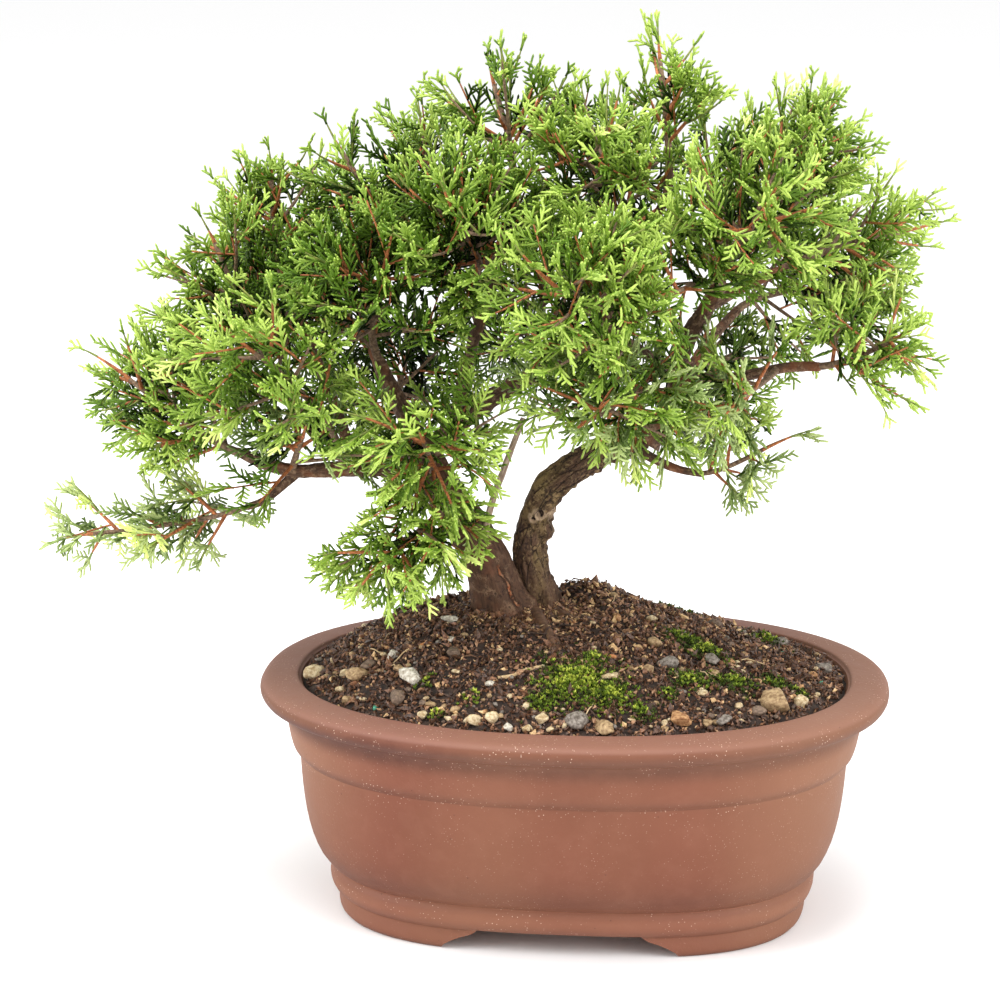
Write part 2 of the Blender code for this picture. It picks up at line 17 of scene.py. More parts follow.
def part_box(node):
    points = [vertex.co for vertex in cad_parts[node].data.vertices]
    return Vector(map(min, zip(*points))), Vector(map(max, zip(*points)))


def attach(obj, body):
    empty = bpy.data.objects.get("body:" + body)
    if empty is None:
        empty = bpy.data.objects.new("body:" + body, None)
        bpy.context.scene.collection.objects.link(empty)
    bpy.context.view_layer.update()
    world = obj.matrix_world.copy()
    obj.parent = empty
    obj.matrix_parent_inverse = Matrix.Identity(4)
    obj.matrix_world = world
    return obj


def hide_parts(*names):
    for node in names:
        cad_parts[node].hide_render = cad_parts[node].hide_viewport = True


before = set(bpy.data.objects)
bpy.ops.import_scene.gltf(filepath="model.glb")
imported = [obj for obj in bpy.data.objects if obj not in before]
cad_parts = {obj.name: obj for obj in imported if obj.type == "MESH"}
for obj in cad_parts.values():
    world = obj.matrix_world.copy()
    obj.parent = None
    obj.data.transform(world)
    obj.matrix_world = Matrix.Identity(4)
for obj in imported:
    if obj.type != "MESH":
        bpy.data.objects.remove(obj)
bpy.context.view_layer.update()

METRES = 0.001
GAP = 0.3
UP = Vector((0, 0, 1))
pot_low, pot_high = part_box("pot")
POT_PLACE = Vector(((pot_low.x + pot_high.x) / 2, (pot_low.y + pot_high.y) / 2, pot_low.z))

# Pot
POT_SIDES = 240
SPAN_RINGS = 2
CRISP_ANGLE = 38
FOOT_TOP = 17.0
BEAD = (50.5, 56.5)
NECK = 64.0
LIP_BOTTOM = 71.0
DEPTH_LESS = 21.3
FOOT_SQUARENESS = 2.75
RIM_SQUARENESS = 2.2
RIM_HEIGHT = 77.0
FLOOR = 15.5
FLOOR_HALF_WIDTH = 70.0
ARCH_REACH = 90.0
ARCH_RISE = ((37.5, -5.0), (37.5, 0.0), (36.4, 1.6), (34.0, 3.2), (31.0, 4.6), (28.0, 5.6),
             (26.4, 6.5), (25.5, 7.8))
POT_PROFILE = ((62.0, 8.4), (62.4, 6.0), (64.2, 0.5), (65.0, 0.0), (73.6, 0.0), (75.2, 0.5),
               (76.0, 1.8), (76.2, 3.8), (76.0, 5.8), (75.9, 6.7), (76.6, 7.4), (77.9, 8.5),
               (78.9, 10.8), (78.9, 13.0), (78.0, 14.6), (77.6, 15.3), (77.8, 15.9),
               (79.2, 16.8), (82.5, 21.0), (85.0, 26.8), (86.8, 34.0), (87.9, 42.0),
               (88.5, 49.0), (88.6, 52.0), (88.8, 52.9), (89.8, 53.8), (90.9, 55.2),
               (91.8, 58.0), (92.6, 62.0), (93.1, 65.2), (93.5, 66.8), (94.6, 68.2),
               (96.4, 69.3), (98.6, 70.0), (100.4, 71.0), (101.4, 72.6), (101.4, 74.2),
               (100.4, 75.6), (98.6, 76.4), (95.0, 76.8), (90.4, 77.0), (89.4, 76.8),
               (88.9, 76.0), (87.6, 74.0), (84.4, 61.0), (81.0, 48.0))

# Soil
GROUND = 97.0
SOIL_EDGE = 75.0
SOIL_HALF_WIDTH = 87.9
MOUND_POWER = 1.6
HUMP = 6.0
HUMP_PLACE = (3.0, 15.0)
HUMP_SPREAD = 17.0
HUMP_FADE = 0.1
TRUNK_PLACE = (-19.0, 1.5)
LEVEL_RADIUS = 20.0
BEYOND_WALL = 130.0
WALL_HALVINGS = 18
LUMP_PITCH = 0.12
LUMP_HEIGHT = 1.7
GRAIN_PITCH = 0.8
GRAIN_HEIGHT = 0.5
LEVEL_LUMPS = 0.35
BED_SUNK = 0.8
BED_SIDES = 220
BED_ROWS = 64
BED_INSET = 0.985
BED_FOOT = 60.0
BED_DEPTH_SHARE = 0.76
TRUNK_CLEAR = 8

CRUMBS = 19000
CRUMB_SIZE = (0.34, 1.0)
LARGE_CRUMB = 1.8
SMALL_SHARE = 0.94
CRUMB_STRETCH = ((0.8, 1.8), (0.6, 1.0), (0.4, 0.85))
# Painted shade: crumbs by the wall take darker tones; painted light: crumbs in the middle take lighter
# ones
PAINTED_SHADE_BY_WALL = 0.75
PAINTED_LIGHT_IN_MIDDLE = 0.55
PAINTED_LIGHT_FALL = 1.4
CRUMB_TONES = (0.42, 0.33, 0.14, 0.11)
BIG_CRUMB = 0.7
FIBRES = 260
FIBRE_TONES = (0.58, 0.39, 0.03)
FIBRE_LENGTH = (3, 11)
FIBRE_CURL = 0.14
FIBRE_RADIUS = (0.10, 0.26)
COLLAR_CRUMBS = 750
COLLAR_WIDTH = 5.5
COLLAR_HEIGHT = 2.6
TRUNK_FEET = ((-24, 0, 10.5), (-12, 8, 7.0))
STONE_KINDS = 9
STONE_LUMPS = 0.34
STONE_LUMP_PITCH = 1.2
STONE_SEED = 20
STONE_STRETCH = ((1.0, 1.3), (0.8, 1.0), (0.6, 0.9))
STONE_SHOWS = 0.35
STONE_CHIPS = 7
CHIP_DEPTH = (0.62, 0.85)
MOSS_LEAVES = 6
MOSS_CUSHION = 1.8
MOSS_LONG = (0.7, 1.5)
MOSS_LEAN = (0.25, 0.95)
MOSS_HALF_WIDTH = 0.2
SHADY_MOSS_FROM = 20
SHADY_MOSS = 0.5

# Loose things on the soil: routes seen from above with a radius and a tone of the fibres
SLIVERS = ((((-24, -14), (-12, -22), (0, -24)), 0.35, 0),
           (((-32, -8), (-40, -14), (-44, -22)), 0.35, 0),
           (((8, -14), (20, -20), (34, -18)), 0.35, 0),
           (((-20, -45), (-13, -43), (-6, -40)), 0.7, 2),
           (((-37, -15), (-33, -18)), 0.25, 2),
           (((-47, -27), (-44, -26), (-42, -28)), 0.7, 3),
           (((12, -31), (16, -32)), 0.8, 3),
           (((25, -56), (29, -48)), 1.0, 1))

# Roots that part from the trunks' foot and sink into the soil, thinner to their ends
ROOTS = ((((-14, 2), (-11, -8), (-8, -18), (-4, -28)), 2.7),
         (((-21, -5), (-21, -14), (-22, -22)), 1.7),
         (((-7, 3), (-2, -4), (3, -11)), 1.8),
         (((-29, -4), (-35, -8), (-39, -15)), 1.3),
         (((-5, -23), (1, -30), (8, -29), (15, -29)), 0.6))

# The stones that stand out, as x, y, width and kind
STONES = ((-82, -16, 7.0, "cream"), (-66, -32, 7.4, "tan"), (-71, -26, 3.6, "cream"),
          (-63, -29, 4.6, "brown"), (-68, -41, 3.8, "tan"), (-55, -28, 5.4, "white"),
          (-52, -36, 4.4, "tan"), (-48, -41, 7.3, "white"), (-51, -48, 6.3, "brown"),
          (-42, -56, 3.8, "cream"), (-40, -52, 3.2, "tan"), (-32, -55, 3.2, "tan"),
          (-26, -60, 5.2, "cream"), (-20, -61, 5.4, "cream"), (-15, -63, 3.8, "white"),
          (-9, -63, 3.5, "cream"), (-5, -60, 4.2, "cream"), (-2, -63, 3.0, "cream"),
          (-10, -56, 3.2, "cream"), (6, -61, 7.4, "grey"), (14, -62, 6.5, "tan"),
          (37, -55, 7.4, "rust"), (45, -53, 3.8, "tan"), (50, -51, 5.0, "grey"),
          (65, -36, 10.4, "tan"), (60, -43, 5.6, "brown"), (73, -31, 5.4, "cream"),
          (80, 8, 5.7, "grey"), (77, -3, 3.2, "rust"), (43, -41, 4.0, "cream"),
          (15, -42, 4.6, "cream"), (27, -20, 5.2, "tan"), (32, -30, 7.6, "grey"),
          (26, -35, 4.6, "tan"), (45, -22, 5.4, "grey"), (46, -28, 4.2, "tan"),
          (51, -17, 3.2, "rust"), (49, 4, 3.4, "grey"), (42, 7, 3.8, "tan"),
          (14, -5, 3.6, "rust"), (12, 10, 4.0, "tan"), (25, 1, 3.5, "cream"),
          (-39, -12, 5.0, "white"), (-37, -26, 3.2, "white"), (-35, -33, 5.2, "brown"),
          (-22, -48, 3.2, "white"), (-33, -42, 3.0, "cream"), (-58, -48, 2.2, "green"),
          (67, 9, 2.2, "green"), (80, -7, 2.0, "green"))

# Rows of small stones along the wall, as from turn, to turn and tries; the tries for larger
# ones strewn over the back and for grit; and the radius up to which a stone has few faces
WALL_STONES = ((190, 350, 70), (10, 170, 40))
WALL_STONE_SIZE = (0.6, 1.6)
WALL_STONE_BAND = (0.86, 0.965)
BACK_STONES = 90
BACK_FROM = 18.0
BACK_STONE_SIZE = (1.0, 3.0)
GRIT = 620
GRIT_SIZE = (0.45, 1.25)
SMALL_STONE = 1.25

# Moss patches as x, y, spread and the number of tufts
MOSS_PATCHES = ((6, -46, 14, 1000), (15, -50, 8, 300), (0, -49, 7, 220), (9, -35, 5, 90),
                (36, -8, 7, 200), (43, -15, 8, 320), (39, -36, 7, 220), (52, -31, 8, 260),
                (66, -22, 6, 130), (72, -24, 5, 60), (33, -46, 4, 60), (25, -55, 5, 110),
                (-6, -55, 5, 90), (-38, -57, 3.5, 30), (-43, -44, 3, 24), (-27, -53, 4, 30),
                (-78, 30, 5, 50), (62, 20, 7, 120), (30, 40, 10, 260), (-20, 48, 9, 220),
                (-58, 28, 8, 140))

# Trunks and boughs, by the rule of the solids
RING_STEP = 11.0
FLARE_RINGS = 3
FLARE_CROWDING = 1.35
FLARE_FALL = 4.5
GIRTH_FROM = 0.95
GIRTH_TO = 1.06
ROOT_LOBES = 5
ROOT_SWELL = 0.10
TRUNK_STEP = 0.5
TRUNK_SIDES = 88
TRUNK_RELIEF = (0.5, 0.6)
BOUGH_STEP = 0.8
BOUGH_RELIEF = 0.16
THICK_BOUGH = 2.5
THICK_BOUGH_SIDES = 24
THIN_BOUGH_SIDES = 16
RAGGED_SIDE = {"right_trunk": 2.0}

# Bark relief: how fast it changes across the grain and along it, and the finer layers' shares
RIDGE_PITCH = (0.55, 0.075)
FINE_PITCH = (1.6, 0.35)
SCALE_PITCH = (0.8, 0.42)
FINE_SHARE = 0.4
SCALE_SHARE = 0.6
JOIN_SWELL = 0.35
JOIN_FALL = 3.0
ROUND_TIP_FROM = 0.985
ROOT_FALL = 7

# Knots as a share of the limb's length, a turn from its right, a width and a height. A knot
# deeper than HOLE_DEPTH is an open hole with a raised lip and a pale ring.
KNOTS = {"right_trunk": ((0.425, -80, 1.2, -2.0), (0.395, -96, 0.8, -1.4),
                         (0.415, -25, 1.4, -1.8), (0.33, -10, 2.3, 1.9),
                         (0.52, -150, 3.0, 0.8), (0.62, -60, 2.5, 0.7), (0.28, -95, 3.0, 0.7)),
         "left_trunk": ((0.42, -60, 3.5, 1.2), (0.62, -120, 3.0, -0.9))}
KNOT_LONG = 0.8
KNOT_REACH = 2.5
HOLE_DEPTH = -1.0
HOLE_LIP = 0.8
HOLE_LIP_PLACE = 1.35
HOLE_LIP_SHARPNESS = 9
HOLE_RING = 1.3
HOLE_SHADE = 0.3

# A torn strip of the left trunk's bark: its place round from the back at the soil, how far
# it leans for each millimetre up, its foot and its top
TORN_BARK = (33.4, -0.2, 1.5, 13.5)
CROWN_HEART = Vector((-25, 0, 175))

# Foliage: the crown's outline from the front as x and height, and the gaps in it as
# x, height and radius
CROWN_OUTLINE = ((-178, 123), (-170, 130), (-162, 134), (-152, 133), (-148, 127), (-139, 126),
                 (-130, 137), (-138, 139), (-149, 145), (-155, 155), (-159, 164), (-157, 181),
                 (-147, 184), (-138, 190), (-136, 203), (-127, 211), (-117, 217), (-115, 230),
                 (-106, 238), (-95, 241), (-84, 241), (-73, 251), (-60, 257), (-48, 264),
                 (-35, 264), (-28, 273), (-20, 276), (-10, 269), (2, 263), (13, 262),
                 (19, 287), (28, 276), (40, 271), (45, 264), (58, 264), (68, 265), (82, 262),
                 (88, 246), (95, 234), (113, 230), (106, 216), (102, 203), (109, 189),
                 (112, 177), (106, 160), (93, 163), (82, 173), (71, 157), (71, 147), (54, 135),
                 (40, 135), (24, 141), (12, 149), (-2, 153), (-10, 158), (-18, 153),
                 (-24, 140), (-21, 118), (-39, 108), (-47, 99), (-62, 90), (-73, 97),
                 (-84, 108), (-79, 122), (-89, 128), (-102, 121), (-114, 117), (-123, 108),
                 (-134, 110), (-146, 114), (-156, 106), (-166, 111))
SKY_GAPS = ((65.4, 166.9, 5.0), (-69.5, 129.9, 4.7), (-62.6, 100.0, 3.0))

# Places where no foliage hangs in front of a bough, as x, height and radius
LIMB_WINDOWS = ((-80, 141, 4.2), (-88, 142, 3.8), (-97, 144, 3.2), (-105, 147, 3.2),
                (-67, 179, 4.0), (-57, 170, 4.5), (-22, 171, 4.2),
                (42, 198, 3.5), (82, 179, 3.5))
WINDOW_FRONT = -15.0
WINDOW_EDGE = 4.0
CROWN_FRONT = -78.0
CROWN_BACK = 83.0
FAR = 99.0
ROOM_SPREAD = 1.3
WALL_OVERLAP = 4.0
RUN_STEP = 1.5
CLUMP_CONTRAST = 1.3
GOLDEN_TURN = 137.5
TWIG_LONGEST = 42.0
TWIG_THICK = 0.72
TWIG_THINS = (1, 0.88, 0.76, 0.62, 0.5)
TWIG_BOW = 0.12
TWIGS_FROM = 0.16
TWIGS_SPAN = 0.8
OLD_TWIG = 22
PLUMES_FROM = 0.22
PLUME_STEP = 6.5
PLUME_THICK = 0.46
PLUME_THINS = (1, 0.9, 0.8, 0.7, 0.6)
PLUME_BOW = 0.16
PLUME_LEAN = (42, 64)
PLUME_LONGEST = 21
PLUME_SHORTENS = 7
SPRAYS_FROM = 0.12
SPRAY_STEP = 3.3
SPRAY_LEAN = (36, 58)
SPRAY_LONGEST = 12.5
SPRAY_SHORTENS = 4.5
SPRAY_SHORTEST = 4.5
SPRAY_TRIM = 0.82
END_SPRAY = (8.5, 12.5)
SPRAY_OVERHANG = 0.8
STEM_BEND = 0.45
HANGING_TIPS = {"low_front": 7.0, "right_low": 4.0, "low_right": 6.0, "left_underside": 5.0,
                "tail": 3.0, "hanging_low": 2.0}
SHORTEST = 4.0
END_PLUME = 4.5
LONG_PLUME = 15.0
SHOOT_THICK = 0.46
SHOOT_STEP = 1.5
SIDE_SHOOT = 4.5
SIDE_SHOOT_LEAN = (30, 44)
SIDE_SHOOT_GROWTH = 0.12
FORKED = 0.20
FORK_LENGTH = 0.6
TONE_SHIFT = -0.1
# Painted shade darkens sprays towards the middle of their room, and painted light lightens those near
# the crown's outline
PAINTED_SHADE_INWARD = 3.3
TONE_SPREAD = 0.5
PAINTED_LIGHT_AT_EDGE = 0.7
EDGE_FADE = 14.0
EDGE_FULLNESS = 0.48
RAGGED_EDGE = 18.0
NOTCH_SIZE = 7.5
CLUMP_SIZE = 10.0
USUAL_FULLNESS = 0.90
BACK_FULLNESS = 0.78
FULLNESS = {"tail": 1.4, "low_right": 1.0, "hanging_low": 1.0, "hanging_front": 0.95,
            "low_front": 1.05, "right_low": 0.80, "right_end": 0.80, "right": 0.72,
            "left_tip": 1.05, "left_underside": 1.05,
            "apex": 0.8, "spike": 0.8, "right_top": 0.75, "top_left": 0.70,
            "left_crown": 0.8, "top_right_centre": 0.85}
GREY_SHARE = {"tail": 1.0, "low_right": 1.0, "left_underside": 0.45, "right_low": 0.5,
              "low_front": 0.4}
GREY_CLUMP = 9.0
STEM_THICK = {"tail": 0.9, "low_right": 0.9}
USUAL_STEM_THICK = 1.5

Limb = namedtuple("Limb", "name parent route foot tip flare", defaults=(0.0,))
LIMBS = (
    Limb("left_trunk", "", ((-24, 0, 97), (-28.5, -2, 114), (-37, -2, 128), (-46, 0, 142),
                            (-50, 2, 152)), 8.2, 4.6, 2.8),
    Limb("right_trunk", "", ((-12, 8, 97), (-15, 6, 117), (-9, 1, 136),
                             (7, 0, 149), (22, 3, 154)), 5.6, 4.2, 1.6),
    Limb("right_leader", "right_trunk", ((22, 3, 153), (31, 4, 165), (33, 0, 181),
                                         (39, -4, 194), (45, -6, 202)), 4.0, 1.9),
    Limb("low_left_bough", "left_trunk", ((-46, 0, 143), (-69, -8, 144), (-90, -12, 144),
                                          (-107, -14, 150)), 3.0, 1.7),
    Limb("left_runner", "low_left_bough", ((-88, -11, 143), (-97, -14, 135), (-104, -15, 132)),
         1.4, 1.1),
    Limb("mid_left_bough", "left_trunk", ((-49, 1, 150), (-70, 8, 146), (-86, 8, 153),
                                          (-95, 5, 168)), 2.7, 1.5),
    Limb("upper_left_bough", "left_trunk", ((-49, 2, 150), (-56, -3, 166), (-62, -8, 180)),
         2.6, 1.6),
    Limb("left_upright", "mid_left_bough", ((-74, 8, 147), (-82, 12, 168), (-89, 13, 184),
                                            (-94, 12, 196)), 1.8, 1.3),
    Limb("middle_bough", "left_trunk", ((-48, 2, 148), (-31, 8, 162), (-16, 12, 171),
                                        (3, 14, 185), (15, 11, 201)), 3.4, 1.9),
    Limb("apex_leader", "middle_bough", ((13, 11, 198), (22, 8, 219), (28, 6, 232),
                                         (28, 5, 246)), 1.9, 1.2),
    Limb("centre_leader", "middle_bough", ((-39, 5, 155), (-35, 5, 177), (-28, 4, 199),
                                           (-21, 2, 222), (-20, 0, 240)), 2.2, 1.2),
    Limb("right_runner", "right_trunk", ((16, 2, 152), (31, -4, 146), (41, -8, 145)), 1.5, 1.1),
    Limb("right_far_bough", "right_leader", ((32, 2, 172), (50, 2, 174), (66, 0, 178),
                                             (77, -3, 179)), 2.0, 1.3),
    Limb("right_up_bough", "right_leader", ((35, -2, 186), (46, 3, 208), (56, 6, 228)),
         2.0, 1.3),
    Limb("right_out_bough", "right_leader", ((43, -5, 199), (60, 0, 207), (74, 3, 213)),
         1.7, 1.2),
    Limb("front_right_bough", "right_leader", ((33, 1, 177), (27, -16, 182), (20, -32, 190)),
         2.0, 1.3),
    Limb("back_left_bough", "left_trunk", ((-49, 2, 149), (-62, 22, 162), (-72, 40, 176)),
         2.4, 1.4),
    Limb("back_right_bough", "right_leader", ((31, 3, 167), (40, 22, 180), (50, 38, 190)),
         2.2, 1.4),
    Limb("thin_stem", "left_trunk", ((-28, -1, 112), (-27.5, -8, 127), (-22, -8, 145),
                                     (-16, -5, 161)), 1.2, 0.9),
)

# Foliage masses: the limb, where along it, the middle and reach of the room; then how light
# the sprays are, how many twigs there are, and how far their tips rise (or hang)
Mass = namedtuple("Mass", "name limb along middle reach tone twigs rise")
MASSES = (
    Mass("tail", "left_runner", 1.0, (-134, -18, 125), (43, 22, 17), 3.5, 12, -0.1),
    Mass("left_tip", "low_left_bough", 1.0, (-130, -14, 167), (29, 28, 22), 2.7, 17, 0.1),
    Mass("left_fan", "low_left_bough", 0.4, (-90, -40, 181), (27, 25, 22), 3.2, 18, 0.2),
    Mass("left_underside", "low_left_bough", 0.65, (-86, -20, 153), (27, 26, 15), 2.0, 16, -0.35),
    Mass("upper_left", "mid_left_bough", 1.0, (-110, 0, 203), (27, 28, 29), 2.5, 18, 0.4),
    Mass("left_crown", "left_upright", 1.0, (-97, 10, 225), (24, 28, 21), 2.65, 17, 0.4),
    Mass("top_left", "centre_leader", 0.5, (-66, 0, 237), (25, 28, 23), 2.2, 17, 0.5),
    Mass("centre_left", "upper_left_bough", 1.0, (-58, -26, 201), (25, 25, 28), 1.8, 18, 0.3),
    Mass("centre", "centre_leader", 0.6, (-31, -24, 222), (23, 26, 24), 2.2, 18, 0.4),
    Mass("spike", "centre_leader", 1.0, (-24, 3, 254), (23, 25, 25), 2.0, 16, 0.6),
    Mass("top_right_centre", "apex_leader", 0.6, (4, -8, 242), (21, 26, 23), 2.8, 17, 0.5),
    Mass("apex", "apex_leader", 1.0, (26, 5, 261), (17, 22, 27), 2.8, 15, 0.8),
    Mass("right_top", "right_up_bough", 1.0, (65, 2, 244), (28, 28, 20), 2.6, 18, 0.5),
    Mass("right_upper", "right_up_bough", 0.6, (56, -30, 228), (23, 25, 21), 2.8, 17, 0.3),
    Mass("middle_right", "right_leader", 1.0, (35, -32, 206), (21, 23, 21), 2.6, 17, 0.2),
    Mass("bright_front", "front_right_bough", 1.0, (5, -46, 204), (24, 24, 25), 2.7, 18, 0.3),
    Mass("right", "right_out_bough", 1.0, (89, 2, 218), (29, 28, 22), 3.15, 18, 0.2),
    Mass("right_end", "right_far_bough", 1.0, (90, -12, 187), (26, 28, 20), 3.2, 17, -0.1),
    Mass("low_front", "front_right_bough", 0.5, (14, -32, 171), (29, 26, 16), 2.6, 16, -0.3),
    Mass("right_low", "right_far_bough", 0.6, (57, -18, 175), (24, 26, 17), 2.8, 15, -0.25),
    Mass("low_right", "right_runner", 1.0, (50, -10, 151), (25, 22, 14), 2.8, 9, -0.35),
    Mass("hanging_front", "left_trunk", 0.74, (-43, -38, 158), (26, 24, 22), 2.8, 17, -0.1),
    Mass("hanging_low", "left_trunk", 0.56, (-51, -34, 125), (28, 22, 20), 2.8, 16, -0.4),
    Mass("back_left", "back_left_bough", 1.0, (-94, 52, 192), (32, 34, 28), 1.8, 17, 0.2),
    Mass("back_left_low", "back_left_bough", 0.6, (-66, 56, 162), (27, 30, 19), 1.8, 15, 0.0),
    Mass("back_top_left", "centre_leader", 0.4, (-50, 44, 222), (28, 32, 28), 1.8, 17, 0.4),
    Mass("back_centre", "middle_bough", 0.55, (-14, 58, 190), (29, 32, 27), 2.0, 17, 0.1),
    Mass("back_top", "apex_leader", 0.25, (4, 42, 234), (26, 30, 27), 2.0, 17, 0.5),
    Mass("back_right_top", "right_up_bough", 0.4, (50, 44, 230), (28, 31, 27), 2.2, 17, 0.4),
    Mass("back_right", "back_right_bough", 1.0, (78, 48, 194), (29, 34, 26), 2.2, 17, 0.1),
    Mass("back_right_low", "back_right_bough", 0.55, (36, 52, 164), (27, 31, 20), 2.0, 15, -0.1),
)


# The places that part the masses into joined pieces
BACK_GROUPS_FROM = 30
BACK_MIDDLE = 30
LEFT_GROUPS_TO = -75
LEFT_HIGH_FROM = 185
CENTRE_LEFT_TO = -20
CENTRE_RIGHT_TO = 40
RIGHT_LOW_TO = 200


# Meshes

class Heap:
    """Points, faces and finish numbers of one joined piece, gathered block by block."""

    def __init__(self):
        self.points = []
        self.corners = []
        self.sizes = []
        self.finish = []
        self.count = 0

    def add(self, points, *face_sets, finish=0):
        """Adds points and the faces on them; each set holds faces of one size."""
        points = np.asarray(points, float).reshape(-1, 3)
        self.points.append(points)
        for faces in face_sets:
            faces = np.asarray(faces, int)
            self.corners.append((faces + self.count).ravel())
            self.sizes.append(np.full(len(faces), faces.shape[1]))
            self.finish.append(np.broadcast_to(finish, len(faces)))
        self.count += len(points)

    def piece(self, name, finishes, slot, nodes=(), smooth=True, grain=None):
        """Makes the object, rides it on the root body and hides the solids that it stands in for."""
        points = np.concatenate(self.points) * METRES + np.array(POT_PLACE)
        corners = np.concatenate(self.corners)
        sizes = np.concatenate(self.sizes)
        mesh = bpy.data.meshes.new(name)
        mesh.vertices.add(len(points))
        mesh.vertices.foreach_set("co", points.ravel())
        mesh.loops.add(len(corners))
        mesh.loops.foreach_set("vertex_index", corners.astype(np.int32))
        mesh.polygons.add(len(sizes))
        mesh.polygons.foreach_set("loop_start", (np.cumsum(sizes) - sizes).astype(np.int32))
        for finish in finishes:
            mesh.materials.append(finish)
        mesh.polygons.foreach_set("material_index", np.concatenate(self.finish).astype(np.int32))
        mesh.polygons.foreach_set("use_smooth", np.full(len(sizes), smooth))
        if grain is not None:
            layer = mesh.uv_layers.new(name="grain")
            layer.data.foreach_set("uv", unrolled(np.asarray(grain, float)[corners]).ravel())
        mesh.update(calc_edges=True)
        mesh.validate()
        piece = bpy.data.objects.new(name, mesh)
        bpy.context.scene.collection.objects.link(piece)
        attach(piece, "root")
        if nodes:
            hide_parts(*nodes)
        return piece


def unrolled(grain):
    """Places round and along a limb, from each corner's turn, girth radius and length along.

    Every face has a multiple of four corners, and the last face round a ring runs on past a
    whole turn instead of back to nought.
    """
    turn = grain[:, 0].reshape(-1, 4)
    over_seam = np.ptp(turn, axis=1, keepdims=True) > math.pi
    turn = np.where(over_seam & (turn < math.pi), turn + 2 * math.pi, turn).ravel()
    return np.stack([turn * grain[:, 1], grain[:, 2]], 1)


def crisp_edges(piece, degrees):
    """Marks the edges that turn more sharply than the angle, so the rest shades smooth."""
    shape = bmesh.new()
    shape.from_mesh(piece.data)
    for edge in shape.edges:
        if len(edge.link_faces) == 2 and edge.calc_face_angle(0) > math.radians(degrees):
            edge.smooth = False
    for face in shape.faces:
        face.smooth = True
    shape.to_mesh(piece.data)
    shape.free()


def band_faces(rings, sides):
    """Quads between consecutive rings of equally many points."""
    i = np.arange(sides)
    j = (i + 1) % sides
    rows = []
    for row in range(rings - 1):
        low = row * sides
        rows.append(np.stack([low + i, low + j, low + sides + j, low + sides + i], 1))
    return np.concatenate(rows)


def closed_band(rings, *piece):
    """A piece made of rings of points, with both ends closed and its normals outward."""
    sides = len(rings[0])
    last = (len(rings) - 1) * sides
    heap = Heap()
    heap.add(np.concatenate(rings), band_faces(len(rings), sides), [range(sides)],
             [range(last, last + sides)])
    made = heap.piece(*piece)
    shape = bmesh.new()
    shape.from_mesh(made.data)
    bmesh.ops.recalc_face_normals(shape, faces=shape.faces[:])
    shape.to_mesh(made.data)
    shape.free()
    return made


def square_to(along, toward):
    """The part of the second vector that is square to the first, at unit length."""
    side = toward - along * toward.dot(along)
    if side.length < 0.01:
        side = along.orthogonal()
    return side.normalized()


def carried_frames(centres, level_foot=False):
    """Side and across directions at each centre, carried along without twist."""
    frames = []
    side = Vector((1, 0, 0))
    for i in range(len(centres)):
        before = centres[max(i - 1, 0)]
        after = centres[min(i + 1, len(centres) - 1)]
        along = (after - before).normalized()
        if level_foot and i == 0:
            along = UP
        side = square_to(along, side)
        frames.append((side, along.cross(side)))
    return frames


def tube(heap, centres, radii, sides, finish=0):
    """A round tube with open foot and a pointed tip."""
    turns = np.arange(sides) * 2 * math.pi / sides
    rings = []
    for centre, radius, (side, across) in zip(centres, radii, carried_frames(centres)):
        rings.append(np.array(centre) + radius * (np.outer(np.cos(turns), side)
                                                  + np.outer(np.sin(turns), across)))
    last = len(centres) * sides
    tip = np.array(centres[-1] + (centres[-1] - centres[-2]).normalized() * radii[-1])
    i = np.arange(sides)
    cap = np.stack([last - sides + i, last - sides + (i + 1) % sides, np.full(sides, last)], 1)
    heap.add(np.concatenate(rings + [tip[None]]), band_faces(len(centres), sides), cap,
             finish=finish)


def smooth_point(route, share):
    """A point of the Catmull-Rom curve through the route, share 0 to 1 along it."""
    points = [Vector(p) for p in route]
    points = [2 * points[0] - points[1]] + points + [2 * points[-1] - points[-2]]
    place = share * (len(points) - 3)
    i = min(int(place), len(points) - 4)
    t = place - i
    a, b, c, d = points[i:i + 4]
    return 0.5 * (2 * b + (c - a) * t + (2 * a - 5 * b + 4 * c - d) * t * t
                  + (3 * b - a - 3 * c + d) * t * t * t)


def route_length(route):
    """The length of the straight runs between a route's places."""
    return sum((Vector(b) - Vector(a)).length for a, b in zip(route, route[1:]))


# Finishes

class Wire:
    """A socket that works in sums: each operator adds its Math node."""

    def __init__(self, finish, socket):
        self.finish = finish
        self.socket = socket

    def _sum(self, operation, *values):
        """A Math node on the values, in their order."""
        sockets = {i: value for i, value in enumerate(values)}
        return self.finish.node("ShaderNodeMath", {"operation": operation}, sockets)

    def __add__(self, other):
        return self._sum("ADD", self, other)

    __radd__ = __add__

    def __mul__(self, other):
        return self._sum("MULTIPLY", self, other)

    __rmul__ = __mul__

    def __sub__(self, other):
        return self._sum("SUBTRACT", self, other)

    def __rsub__(self, other):
        return self._sum("SUBTRACT", other, self)

    def __abs__(self):
        return self._sum("ABSOLUTE", self)

    def over(self, limit, softness):
        """0 below the limit and 1 above it, with a soft step between."""
        return self.finish.node("ShaderNodeMapRange", {"interpolation_type": "SMOOTHSTEP"}, {
            "Value": self, "From Min": limit - softness, "From Max": limit + softness})


